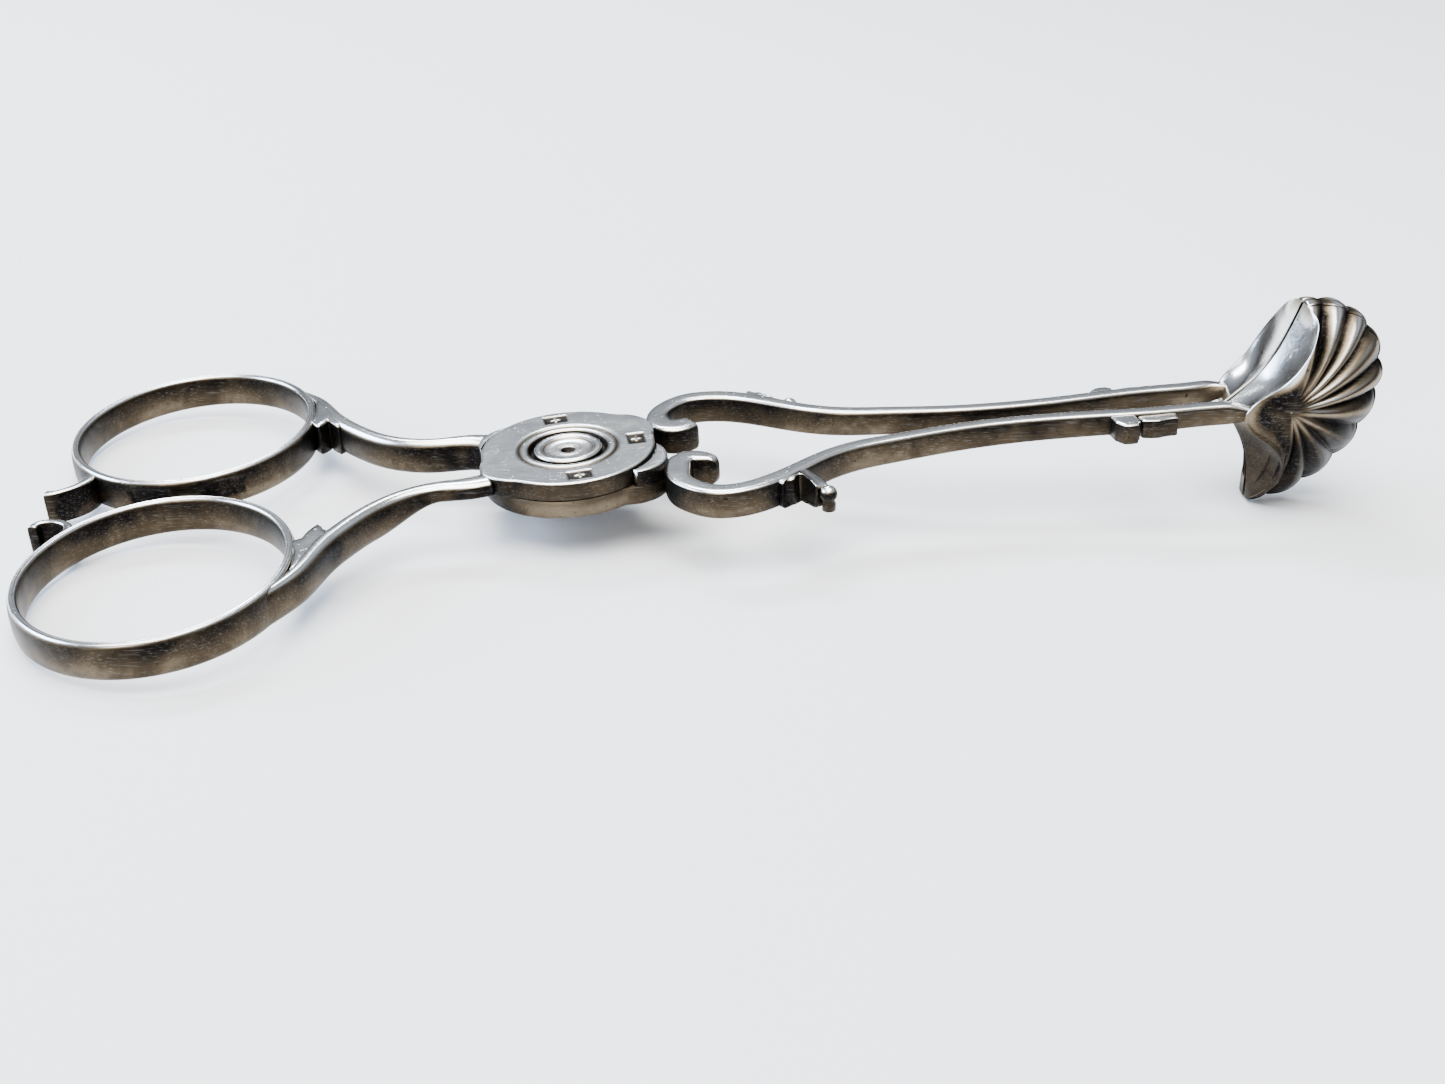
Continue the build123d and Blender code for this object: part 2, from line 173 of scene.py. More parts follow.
world = bpy.data.worlds.new("studio")
bpy.context.scene.world = world
world.use_nodes = True
sky = world.node_tree
direction = sky.nodes.new("ShaderNodeTexCoord").outputs["Generated"]
seen_directly = sky.nodes.new("ShaderNodeLightPath").outputs["Is Camera Ray"]
sky_split = sky.nodes.new("ShaderNodeSeparateXYZ")
sky.links.new(direction, sky_split.inputs[0])
lit = ramp(sky, sky_split.outputs["Z"], SKY_STOPS)
sky_colour = mixed(sky, seen_directly, lit, BACKDROP)
sky.links.new(sky_colour, sky.nodes["Background"].inputs["Color"])
print("sky stops", len(SKY_STOPS))

# %% Softboxes
def softbox(name, place, size, power, colour, aim=(0, 0, 0)):
    """Rectangular area light at place, its -Z axis towards aim and its X axis level."""
    light = bpy.data.lights.new(name, "AREA")
    light.shape = "RECTANGLE"
    light.size, light.size_y = size
    light.energy = power
    light.color = colour
    back = unit(np.subtract(place, aim))
    side = unit(np.cross([0.0, 0.0, 1.0], back))
    turn = Matrix(np.stack([side, np.cross(back, side), back], 1).tolist()).to_4x4()
    placed(name, light).matrix_world = Matrix.Translation(place) @ turn


softbox("back_softbox", (-0.1, 0.42, 0.52), (0.34, 0.1), 4.0, (0.84, 0.92, 1.0))
softbox("top_softbox", (-0.1, -0.15, 0.8), (0.8, 0.8), 23.0, (1.0, 0.99, 0.97))
softbox("left_softbox", (-0.5, 0.1, 0.22), (0.4, 0.26), 6.5, (0.58, 0.74, 1.0), (0.03, 0, 0))
softbox("front_fill", (-0.35, -0.7, 0.35), (0.3, 0.2), 2.0, (1.0, 0.95, 0.9))
print("softboxes", len(bpy.data.lights))

# %% [markdown]
# A cast arm is a section carried along a curved line.  Three helpers do that work: a smooth
# curve through a few measured stations, a rounded section, and a lattice of points made
# into a closed mesh.

# %% Curves, sections and lattices
def smooth_line(stations, spacing):
    """Natural cubic through the stations, as even steps of chord length.

    Between two stations the curve is a*p + b*q + ((a^3-a)*m + (b^3-b)*n)*h^2/6, where the
    second derivatives m and n solve one linear system over all stations.
    """
    p = np.asarray(stations, float)
    t = np.concatenate([[0.0], np.cumsum(np.linalg.norm(np.diff(p[:, :2], axis=0), axis=1))])
    h = np.diff(t)
    inner = np.arange(1, len(t) - 1)
    system = np.eye(len(t))
    system[inner, inner - 1] = h[:-1]
    system[inner, inner] = 2 * (h[:-1] + h[1:])
    system[inner, inner + 1] = h[1:]
    slope = np.diff(p, axis=0) / h[:, None]
    bend = np.zeros_like(p)
    bend[1:-1] = 6 * np.diff(slope, axis=0)
    m = np.linalg.solve(system, bend)
    s = np.linspace(0, t[-1], max(int(t[-1] / spacing), 4))
    k = np.clip(np.searchsorted(t, s, side="right") - 1, 0, len(h) - 1)
    a = ((t[k + 1] - s) / h[k])[:, None]
    b = 1 - a
    curve = (a**3 - a) * m[k] + (b**3 - b) * m[k + 1]
    return a * p[k] + b * p[k + 1] + curve * (h[k] ** 2 / 6)[:, None]


def rounded_section(count, across_power, up_power):
    """Superellipse: |x|^n + |z|^m = 1, walked by angle, from -1 to 1 both ways."""
    angle = np.linspace(0, 2 * np.pi, count, endpoint=False) + np.pi / count
    c, s = np.cos(angle), np.sin(angle)
    x = np.sign(c) * np.abs(c) ** (2 / across_power)
    z = np.sign(s) * np.abs(s) ** (2 / up_power)
    return np.stack([x, z], 1)


def carried(line, section, side):
    """Lattice of the section carried along the line, whose columns are x, y, width, low, high.

    point = place + across*(half width)*section x, at height low + (section z + 1)/2*(high-low),
    where across is square to the line.  Side -1 mirrors it over the middle plane.
    """
    along = unit(np.gradient(line[:, :2], axis=0))
    offset = section[..., 0] * line[:, 2:3] / 2
    x = line[:, :1] - along[:, 1:] * offset
    y = line[:, 1:2] + along[:, :1] * offset
    z = line[:, 3:4] + (section[..., 1] + 1) / 2 * (line[:, 4:5] - line[:, 3:4])
    return np.stack([x, side * y, z], -1)


def round_end(lattice, reach, rows):
    """The lattice with its last row carried on by reach, drawn in by a quarter circle."""
    turn = np.linspace(0, np.pi / 2, rows + 1)[1:, None, None]
    centre = lattice[-1].mean(0)
    onward = unit(centre - lattice[-2].mean(0))
    extra = centre + (lattice[-1] - centre) * np.cos(turn * 0.97) + onward * reach * np.sin(turn)
    return np.concatenate([lattice, extra])


def end_faces(row, tip):
    """Triangles from one closed row of vertex numbers to the single vertex tip."""
    return np.stack([np.roll(row, -1), row, np.full(len(row), tip)], -1)


def volume(points, quads, triangles):
    """Signed volume of a closed mesh: the sum of a . (b x c) / 6 over its triangles."""
    halves = [quads[:, [0, 1, 2]], quads[:, [0, 2, 3]], triangles]
    a, b, c = points[np.concatenate(halves)].transpose(1, 0, 2)
    return float(np.einsum("ij,ij->", a, np.cross(b, c)) / 6)


def closed_lattice(lattice, ring=False):
    """(points, quads, triangles) of a lattice whose columns close round.

    Its rows close too if ring is true; if it is not, fans close the two open ends.
    """
    points = lattice.reshape(-1, 3)
    count = len(points)
    index = np.arange(count).reshape(lattice.shape[:2])
    here = index if ring else index[:-1]
    onward = np.roll(index, -1, axis=0) if ring else index[1:]
    corners = [here, np.roll(here, -1, 1), np.roll(onward, -1, 1), onward]
    quads = np.stack(corners, -1).reshape(-1, 4)
    triangles = np.zeros((0, 3), int)
    if not ring:
        points = np.concatenate([points, [lattice[0].mean(0), lattice[-1].mean(0)]])
        first, last = end_faces(index[0], count), end_faces(index[-1][::-1], count + 1)
        triangles = np.concatenate([first, last])
    if volume(points, quads, triangles) < 0:
        quads, triangles = quads[:, ::-1], triangles[:, ::-1]
    return points, quads, triangles


print("section points", len(rounded_section(32, 4, 4)))

# %% [markdown]
# Old silver is bright where hands and cloths rub it, on tops and edges, and brown to black
# where nothing reaches: down the sides, in the grooves and at the roots of the ribs.  Here
# that tarnish is mixed with painted shade, which darkens the sides, undersides, nooks and
# grooves in the colour.  Each piece carries both as one vertex attribute, and one node group
# turns it into colour, roughness and height, with clouding, pits and fine scratches.

# %% Node group: scratches
def new_group(name, inputs, outputs):
    """Empty shader node group with named sockets: inputs are (name, type, default)."""
    group = bpy.data.node_groups.new(name, "ShaderNodeTree")
    for label, kind, default in inputs:
        socket = group.interface.new_socket(label, in_out="INPUT", socket_type=kind)
        socket.default_value = default
    for label, kind in outputs:
        group.interface.new_socket(label, in_out="OUTPUT", socket_type=kind)
    return group, group.nodes.new("NodeGroupInput"), group.nodes.new("NodeGroupOutput")


def maths(group, operation, *values, clamp=False):
    """Math node over sockets and plain numbers; returns its result socket."""
    node = group.nodes.new("ShaderNodeMath")
    node.operation = operation
    node.use_clamp = clamp
    for slot, value in zip(node.inputs, values):
        if isinstance(value, (int, float)):
            slot.default_value = value
        else:
            group.links.new(value, slot)
    return node.outputs[0]


def noise(group, vector, scale, detail, roughness, warp=0.0):
    """Noise texture read at vector; scale is per metre."""
    node = group.nodes.new("ShaderNodeTexNoise")
    node.inputs["Scale"].default_value = scale
    node.inputs["Detail"].default_value = detail
    node.inputs["Roughness"].default_value = roughness
    node.inputs["Distortion"].default_value = warp
    group.links.new(vector, node.inputs["Vector"])
    return node.outputs["Fac"]


SCRATCH_LAYERS = ((0.3, 30.0), (1.25, 22.0), (2.4, 38.0))    # turn, squeeze across
# Colours for tarnish and painted shade alike, from clean metal to black.
TARNISH_AND_SHADE_STOPS = [
    (0.0, (0.9, 0.895, 0.88)),
    (0.25, (0.58, 0.55, 0.5)),
    (0.5, (0.19, 0.15, 0.102)),
    (0.78, (0.046, 0.034, 0.021)),
    (1.0, (0.006, 0.005, 0.0045)),
]
BARE_METAL = (0.95, 0.94, 0.92)

scratches, into, out = new_group(
    "fine_scratches", [("Density", "NodeSocketFloat", 0.5)], [("Mask", "NodeSocketFloat")]
)
place = scratches.nodes.new("ShaderNodeTexCoord").outputs["Object"]
total = None
for spin, squeeze in SCRATCH_LAYERS:
    turned = scratches.nodes.new("ShaderNodeMapping")
    turned.inputs["Rotation"].default_value = (0.15, 0.2, spin)
    turned.inputs["Scale"].default_value = (1.0, squeeze, squeeze)
    scratches.links.new(place, turned.inputs["Vector"])
    streak = noise(scratches, turned.outputs[0], 260.0, 2.0, 0.6)
    line = maths(scratches, "SUBTRACT", streak, 0.6)
    line = maths(scratches, "MULTIPLY", line, 9.0, clamp=True)
    total = line if total is None else maths(scratches, "MAXIMUM", total, line)
scratches.links.new(
    maths(scratches, "MULTIPLY", total, into.outputs["Density"]), out.inputs["Mask"]
)

# %% Node group: worn silver with painted shade
worn_and_shaded, into, out = new_group(
    "worn_and_shaded_silver",
    [("Tarnish and shade", "NodeSocketFloat", 0.0), ("Gloss", "NodeSocketFloat", 0.5)],
    [("Color", "NodeSocketColor"), ("Roughness", "NodeSocketFloat"),
     ("Height", "NodeSocketFloat")],
)
place = worn_and_shaded.nodes.new("ShaderNodeTexCoord").outputs["Object"]
cloud = noise(worn_and_shaded, place, 210.0, 6.0, 0.62, 0.6)
grain = noise(worn_and_shaded, place, 1900.0, 4.0, 0.6)
hammer = noise(worn_and_shaded, place, 330.0, 1.0, 0.4)
fine = worn_and_shaded.nodes.new("ShaderNodeGroup")
fine.node_tree = scratches
fine.inputs["Density"].default_value = 0.8
scratch = fine.outputs["Mask"]
pit = maths(worn_and_shaded, "MULTIPLY", maths(worn_and_shaded, "SUBTRACT", grain, 0.66), 12.0, clamp=True)
uneven = maths(worn_and_shaded, "MULTIPLY_ADD", cloud, 0.7, 0.65)
# The input mixes tarnish with painted shade and painted highlight; here it becomes the colour.
shade = maths(worn_and_shaded, "MULTIPLY", into.outputs["Tarnish and shade"], uneven, clamp=True)
haze = maths(worn_and_shaded, "MULTIPLY", maths(worn_and_shaded, "SUBTRACT", cloud, 0.4), 0.8, clamp=True)
shade = maths(worn_and_shaded, "MAXIMUM", shade, haze)
shade = maths(worn_and_shaded, "MULTIPLY_ADD", pit, 0.3, shade, clamp=True)
bared = maths(worn_and_shaded, "MULTIPLY", scratch, 0.05)
colour = mixed(worn_and_shaded, bared, ramp(worn_and_shaded, shade, TARNISH_AND_SHADE_STOPS), BARE_METAL)
worn_and_shaded.links.new(colour, out.inputs["Color"])
rough = maths(worn_and_shaded, "MULTIPLY_ADD", shade, 0.3, into.outputs["Gloss"])
rough = maths(worn_and_shaded, "MULTIPLY_ADD", scratch, 0.04, rough)
rough = maths(worn_and_shaded, "MULTIPLY_ADD", cloud, 0.08, rough, clamp=True)
worn_and_shaded.links.new(rough, out.inputs["Roughness"])
relief = maths(worn_and_shaded, "MULTIPLY_ADD", scratch, -0.05, maths(worn_and_shaded, "MULTIPLY", hammer, 0.9))
relief = maths(worn_and_shaded, "MULTIPLY_ADD", pit, -0.35, relief)
relief = maths(worn_and_shaded, "MULTIPLY_ADD", grain, 0.1, relief)
worn_and_shaded.links.new(relief, out.inputs["Height"])
print("node groups", [g.name for g in bpy.data.node_groups])

# %% Three silvers
BUMP_DISTANCE = 0.00006


def silver(name, gloss, bump):
    """Principled metal fed by the group, tarnish and painted shade in its colour, its height as a
    bump.
    """
    finish = bpy.data.materials.new(name)
    finish.use_nodes = True
    tree = finish.node_tree
    shader = tree.nodes["Principled BSDF"]
    shader.inputs["Metallic"].default_value = 1.0
    # This attribute holds tarnish mixed with painted shade and painted highlight.
    mask = tree.nodes.new("ShaderNodeAttribute")
    mask.attribute_name = "tarnish_and_shade"
    wear_and_shade = tree.nodes.new("ShaderNodeGroup")
    wear_and_shade.node_tree = worn_and_shaded
    wear_and_shade.inputs["Gloss"].default_value = gloss
    relief = tree.nodes.new("ShaderNodeBump")
    relief.inputs["Strength"].default_value = bump
    relief.inputs["Distance"].default_value = BUMP_DISTANCE
    for source, output, target, slot in (
        (mask, "Fac", wear_and_shade, "Tarnish and shade"), (wear_and_shade, "Color", shader, "Base Color"),
        (wear_and_shade, "Roughness", shader, "Roughness"), (wear_and_shade, "Height", relief, "Height"),
        (relief, "Normal", shader, "Normal"),
    ):
        tree.links.new(source.outputs[output], target.inputs[slot])
    return finish


silvers = {
    "polished_silver": silver("polished_silver", 0.13, 0.8),
    "joint_silver": silver("joint_silver", 0.17, 0.9),
    "shell_silver": silver("shell_silver", 0.12, 0.7),
}
print("finishes", sorted(silvers))

# %% [markdown]
# The tarnish and painted shade follow four things: which way a face looks, because the tops
# are polished and the sides and undersides get tarnish and painted shade; how high it lies,
# because the side walls are painted darkest below the top edge and lighter low down, as a
# painted reflection of the floor; how near it is to a nook that a cloth can't reach, which
# adds tarnish and painted shade; and how deep it lies in a groove, which each shape says
# for itself.

# %% From a lattice to a finished piece
# Side walls: tarnish and painted shade, darkest high up and lighter low down as a painted
# reflection of the floor; undersides get painted shade.
LOW_SIDE_TARNISH_SHADE, HIGH_SIDE_TARNISH_SHADE = 0.75, 0.92
UNDER_TARNISH_SHADE = 0.72
NOOKS = [    # x, distance from the middle plane, reach, extra share of painted shade and tarnish on the walls
    (-10.0, 5.2, 3.4, 0.35), (10.2, 4.8, 3.6, 0.3), (-22.4, 11.8, 2.4, 0.4),
    (-43.6, 3.4, 2.4, 0.4), (-7.0, 3.0, 3.0, 0.45), (18.4, 9.8, 1.8, 0.35),
    (44.0, 1.0, 9.0, 0.15), (49.3, 3.6, 0.8, 0.4),
]


def soft_step(x, low, high):
    """0 below low, 1 above high, and the smooth cubic 3t^2 - 2t^3 between."""
    t = np.clip((x - low) / (high - low), 0, 1)
    return t * t * (3 - 2 * t)


def facing_tarnish_and_shade(upward, height):
    """Tarnish and painted shade by the normal's upward part and the height: none on tops, most
    high on the sides.
    """
    side = 1 - soft_step(upward, 0.22, 0.72)
    under = soft_step(-upward, 0.3, 0.9)
    wall = LOW_SIDE_TARNISH_SHADE + (HIGH_SIDE_TARNISH_SHADE - LOW_SIDE_TARNISH_SHADE) * soft_step(height, 0.8, 2.4)
    return side * (wall + (UNDER_TARNISH_SHADE - wall) * under)


def in_nooks(points):
    """1 + the sum of extra*exp(-(d/reach)^2), d being the distance from each nook in plan."""
    deeper = np.ones(len(points))
    # Painted shade, with tarnish, grows near each nook.
    for x, y, reach, extra in NOOKS:
        away = np.hypot(points[:, 0] - x, np.abs(points[:, 1]) - y)
        deeper += extra * np.exp(-((away / reach) ** 2))
    return deeper


def finished(name, solids, body, nodes, slot, recess=None, clean=1.0):
    """One object from closed lattices, riding on its body in place of its CAD nodes.

    recess is the extra tarnish and painted shade of each point, a painted highlight where
    negative; the last argument scales the tarnish and painted shade that come from the facing.
    """
    points, faces, first = [], [], 0
    for solid_points, quads, triangles in solids:
        points.append(solid_points)
        faces += (quads + first).tolist() + (triangles + first).tolist()
        first += len(solid_points)
    mesh = bpy.data.meshes.new(name)
    points = np.concatenate(points)
    mesh.from_pydata(in_row(points).tolist(), [], faces)
    mesh.shade_smooth()
    normals = np.zeros(len(mesh.vertices) * 3)
    mesh.vertex_normals.foreach_get("vector", normals)
    # Tarnish mixed with painted shade: sides, undersides and nooks darkened in the colour.
    tarnish_and_shade = facing_tarnish_and_shade(normals.reshape(-1, 3) @ up, points[:, 2]) * clean
    tarnish_and_shade = np.clip(tarnish_and_shade * in_nooks(points), 0, 1)
    if recess is not None:
        tarnish_and_shade[: recess.size] = np.clip(tarnish_and_shade[: recess.size] + recess.ravel(), 0, 1)
    layer = mesh.attributes.new("tarnish_and_shade", "FLOAT", "POINT")
    layer.data.foreach_set("value", tarnish_and_shade.astype(np.float32))
    mesh.materials.append(silvers[slot])
    piece = placed(name, mesh)
    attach(piece, body)
    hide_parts(*nodes)
    return piece


def arm_piece(arm, name, solids, nodes, slot="polished_silver", **extra):
    """The same for a piece of one arm, where every name starts with the arm's."""
    stands_for = [f"{arm}_{node}" for node in nodes]
    piece = finished(f"{arm}_{name}", solids, f"{arm}_arm", stands_for, slot, **extra)
    print(piece.name, "points", len(piece.data.vertices))


print("patina on a top, a side and an underside",
      [round(float(facing_tarnish_and_shade(np.array(v), 2.0)), 2) for v in (1.0, 0.0, -1.0)])

# %% [markdown]
# Each finger bow is an oval ring.  Its band is a strip on edge: taller than it is thick,
# bulged along the middle of both faces, with a shallow worn line pressed along its top.  The
# outer face of the bow on +Y bears two sunk stamps, and beads fill the first of them.

# %% Finger bows
ARMS = {"upper": -1, "lower": 1}    # side of each arm's bow: -Y or +Y
BOW_X, BOW_Y = -34.6, 14.2
BOW_HALF_X, BOW_HALF_Y = 11.4, 12.9
BAND, BOW_DEPTH = 1.05, 3.2


def band_middle(angle):
    """Point of the band's middle oval: centre + half sizes * (cos, sin)."""
    turn = np.radians(angle)
    x = BOW_X + (BOW_HALF_X - BAND / 2) * np.cos(turn)
    return x, BOW_Y + (BOW_HALF_Y - BAND / 2) * np.sin(turn)


STAMPS = [(256, 10.5), (289, 11.5)]    # bearing and half spread of each, in degrees
STAMP_MIDDLE, STAMP_HALF, STAMP_DEPTH = 1.75, 0.85, 0.16


def stamped(angle, z):
    """Shares (sunk, raised) of the stamps at angle and height: rounded boxes, beads in one.

    The box is |u|^4 + |v|^4 < 1, where u and v run from -1 to 1 across it.  The beads are two
    ovals at u = 0.42 and -0.42, broken up by a cosine.
    """
    sunk, raised = 0.0, 0.0
    v = (z - STAMP_MIDDLE) / STAMP_HALF
    for number, (middle, spread) in enumerate(STAMPS):
        u = (angle - middle) / spread
        sunk = sunk + 1 - soft_step(u**4 + v**4, 0.75, 1.0)
        if number == 0:
            bead = np.hypot((np.abs(u) - 0.42) / 0.22, v / 0.5)
            raised = (1 - soft_step(bead, 0.6, 1.1)) * (0.6 + 0.4 * np.cos(5 * v + 9 * u))
    return sunk, raised


def bow_lattice(side):
    """Ring of sections round the band's middle oval, and the stamps' extra tarnish and painted
    shade.

    A section is a superellipse whose half thickness falls off as 1 - 0.22 z^2 towards both
    rims, and whose top has a shallow line pressed along its middle.
    """
    section = rounded_section(64, 2.8, 5.5)
    thick = section[:, 0] * (1 - 0.22 * section[:, 1] ** 2)
    line = 0.07 * np.exp(-((section[:, 0] / 0.22) ** 2)) * (section[:, 1] > 0)
    angle = np.linspace(0, 360, 520, endpoint=False)[:, None]
    z = np.broadcast_to(BOW_DEPTH * (section[:, 1] + 1) / 2 - line, (len(angle), len(section)))
    sunk, raised = stamped(angle, z)
    on_face = (section[:, 0] > 0.1) * (side > 0)
    turn = np.radians(angle)
    middle_x, middle_y = band_middle(angle)
    out_x, out_y = np.cos(turn) * BOW_HALF_Y, np.sin(turn) * BOW_HALF_X
    length = np.hypot(out_x, out_y)
    reach = thick * BAND / 2 - STAMP_DEPTH * (sunk - 0.8 * raised) * on_face
    x = middle_x + out_x / length * reach
    y = middle_y + out_y / length * reach
    # The sunk stamps get tarnish and painted shade; the beads in the first are lighter.
    return np.stack([x, side * y, z], -1), (0.5 * sunk - 1.4 * raised) * on_face


for arm, side in ARMS.items():
    lattice, stamp = bow_lattice(side)
    arm_piece(arm, "finger_bow", [closed_lattice(lattice, ring=True)], ["bow"],
              recess=stamp)

# %% [markdown]
# A curved shank joins each bow to the joint.  It leaves the joint's shoulder thick, sweeps
# round the outside of the crotch, and dies away along the bow's outer front.  The upper
# arm's shank is thinned from below beside the joint, so that it passes over the other arm.

# %% Shanks
SHANK_LINE = [    # x, y, width
    (-7.35, 4.25, 2.6), (-8.6, 4.62, 2.35), (-11.6, 4.7, 1.8), (-14.2, 5.35, 1.75),
    (-17.0, 7.2, 1.8), (-19.3, 9.9, 1.85), (-21.4, 13.4, 1.85), (-23.1, 17.6, 1.5),
]
SHANK_TOP = 3.3
SHANK_FOOT, TAIL_DROP = 0.02, 0.25
RELIEF, RELIEF_START, RELIEF_END = 1.6, -17.5, -11.5
TAIL_STATIONS = ((34, 1.0), (46, 0.8), (58, 0.6))    # bearing from the bow's middle, width


def shank_line(relief):
    """Stations (x, y, width, low, high); the low side rises by relief towards the joint.

    The last stations lie inside the bow's band, each thinner than the one before.
    """
    tail = [(*band_middle(bearing), width) for bearing, width in TAIL_STATIONS]
    line = smooth_line(SHANK_LINE + tail, 0.22)
    low = relief * soft_step(line[:, 0], RELIEF_START, RELIEF_END)
    high = SHANK_TOP - TAIL_DROP * soft_step(-line[:, 0], 21.0, 25.0)
    return np.column_stack([line, low + SHANK_FOOT, high])


section = rounded_section(48, 2.3, 3.8)
section[:, 0] *= 1 - 0.12 * np.clip(section[:, 1], 0, 1) ** 2
for arm, side in ARMS.items():
    line = shank_line(RELIEF if arm == "upper" else 0.0)
    arm_piece(arm, "curved_shank", [closed_lattice(carried(line, section, side))], ["shank"])

# %% [markdown]
# Small cast leaves and horns are soldered to the arms.  From above each one is an outline of
# cusps with hollows between; its height is full, its top is slightly cushioned and its
# edges are rubbed round.

# %% Outlines with hollows, and cushioned solids
def hollowed(stations):
    """Closed outline through stations (x, y, sag).

    From each to the next it is start + run*t + left*4*sag*t*(1-t), a parabola that many
    millimetres to the left of the straight run.
    """
    stations = np.array(stations, float)[:, None]
    start, sag = stations[..., :2], stations[..., 2:]
    run = np.roll(start, -1, axis=0) - start
    t = np.linspace(0, 1, OUTLINE_STEPS, endpoint=False)[None, :, None]
    left = unit(np.stack([-run[..., 1], run[..., 0]], -1))
    return (start + run * t + left * 4 * sag * t * (1 - t)).reshape(-1, 2)


OUTLINE_STEPS = 9
CUSHION = [    # share of the height, share of the outline's size
    (0.0, 0.86), (0.03, 0.95), (0.09, 1.0), (0.5, 1.0), (0.84, 1.0), (0.91, 0.985),
    (0.96, 0.95), (0.985, 0.88), (1.0, 0.72), (1.0, 0.36),
]


def cushioned(outline, high, side, centre=None):
    """Lattice that carries an outline up to high, drawn in at both ends."""
    height, size = np.array(CUSHION).T
    middle = outline.mean(0) if centre is None else np.asarray(centre, float)
    flat = middle + (outline - middle) * size[:, None, None]
    z = np.broadcast_to((height * high)[:, None], flat.shape[:2])
    return np.stack([flat[..., 0], side * flat[..., 1], z], -1)


print("rows in a cushioned solid", len(CUSHION))

# %% Heel scrolls and crotch leaves
HEEL_LINE = {    # x, y, width from the bow's rear: the one on -Y is hooked
    1: [(-42.65, 6.07, 0.95), (-42.95, 4.87, 1.15), (-43.67, 3.62, 0.95), (-44.97, 2.72, 0.85),
        (-45.7, 2.5, 0.9), (-46.25, 2.6, 1.1)],
    -1: [(-43.6, 6.6, 0.6), (-43.05, 5.6, 0.9), (-43.15, 4.5, 0.85), (-43.9, 3.7, 0.75),
         (-45.0, 3.3, 0.72), (-45.8, 3.5, 0.8), (-46.17, 4.2, 0.95)],
}
HEEL_TOP, LEAF_TOP, LEAF_MIDDLE = 3.0, 3.16, (-22.3, 14.0)
CROTCH_START = [(-23.5, 17.6, 0), (-23.4, 14.6, 0)]    # down the bow's band: x, y, sag
CROTCH_TEETH = {
    1: [(-23.75, 12.6, -0.1), (-22.9, 11.0, -0.1), (-22.0, 12.2, -0.1), (-21.0, 10.5, 0)],
    -1: [(-23.85, 12.4, -0.05), (-22.9, 11.9, -0.15), (-21.7, 9.5, -0.1), (-21.2, 10.5, 0)],
}
CROTCH_END = [(-20.3, 11.3, 0), (-21.4, 14.6, 0), (-22.6, 17.6, 0)]    # along the shank, back

for arm, side in ARMS.items():
    line = smooth_line(HEEL_LINE[side], 0.12)
    line = np.column_stack([line, np.zeros(len(line)), np.full(len(line), HEEL_TOP)])
    horn = round_end(carried(line, rounded_section(32, 4.0, 6.0), side), 0.18, 4)
    # The horn and the leaf take a stronger share of the facing's tarnish and painted shade.
    arm_piece(arm, "heel_horn", [closed_lattice(horn)], ["heel_scroll"], clean=1.15)
    outline = hollowed(CROTCH_START + CROTCH_TEETH[side] + CROTCH_END)
    leaf = cushioned(outline, LEAF_TOP, side, LEAF_MIDDLE)
    arm_piece(arm, "crotch_cusp", [closed_lattice(leaf)], ["crotch_leaf"], clean=1.25)

# %% [markdown]
# The joint is two round halves face to face.  Each half is a turned profile: a closed line of
# radius and height, spun about the pivot.  Where an arm leaves, the outline swells into a
# shoulder, and the same profile is stretched out to it.  The top face has turned lines round
# the rivet and three small punched marks, here plain rosettes in frames.

# %% Joint outline and punched marks
DISC_R, SWING_GAP = 7.8, 0.15
SHOULDER_R, SHOULDER_ANGLE = 3.4, 30.0
SHOULDER_RISE, BOLD_RISE = 0.9, 1.7    # past the disc; the bold one is beside the lower scroll
LAP_THICKNESS, SOFTNESS = 1.66, 0.16
MARK_RADIUS, MARK_HALF_LONG, MARK_HALF_WIDE, MARK_DEPTH = 6.2, 1.15, 0.82, 0.13


def shoulder_reach(turn, bearing, rise):
    """Distance from the pivot to the shoulder's circle along turn; 0 where it misses.

    It is the far root of |r*(cos, sin) - centre| = radius.
    """
    centre = DISC_R + rise - SHOULDER_R
    off = np.angle(np.exp(1j * (turn - np.radians(bearing))))
    under = SHOULDER_R**2 - (centre * np.sin(off)) ** 2
    reach = centre * np.cos(off) + np.sqrt(np.clip(under, 0, None))
    return np.where((under > 0) & (np.cos(off) > 0), reach, 0.0)


def shoulders_of(arm):
    """(bearing, rise, full height) of an arm's shoulders: its scroll's, then its shank's."""
    side = 1 if arm == "upper" else -1
    scroll_rise = SHOULDER_RISE if arm == "upper" else BOLD_RISE
    shank_bearing = 180 + side * SHOULDER_ANGLE
    return [(side * SHOULDER_ANGLE, scroll_rise, True), (shank_bearing, SHOULDER_RISE, side < 0)]


def lap_outline(turn, arm):
    """The disc's radius, or a shoulder's reach where that is further, with a soft maximum."""
    reach = np.max([shoulder_reach(turn, b, rise) for b, rise, _ in shoulders_of(arm)], axis=0)
    return SOFTNESS * np.logaddexp(DISC_R / SOFTNESS, reach / SOFTNESS)


def punched(x, y, bearing):
    """Depth share of one punched mark: a frame sunk with soft walls, a rosette raised in it.

    Inside the frame's box the depth is 1; the rosette's petals are |cos 2a| lobes.
    """
    turn = np.radians(bearing)
    u = x * np.cos(turn) + y * np.sin(turn) - MARK_RADIUS
    v = -x * np.sin(turn) + y * np.cos(turn)
    box = np.maximum(np.abs(u) / MARK_HALF_WIDE, np.abs(v) / MARK_HALF_LONG)
    angle, reach = np.arctan2(v, u), np.hypot(u, v)
    petals = 1 - soft_step(reach / (0.16 + 0.42 * np.abs(np.cos(2 * angle))), 0.75, 1.05)
    return (1 - soft_step(box, 0.86, 1.0)) * (1 - 0.85 * petals)


bold_reach = shoulder_reach(np.radians(-SHOULDER_ANGLE), -SHOULDER_ANGLE, BOLD_RISE)
print("bold shoulder reach", round(float(bold_reach), 2))

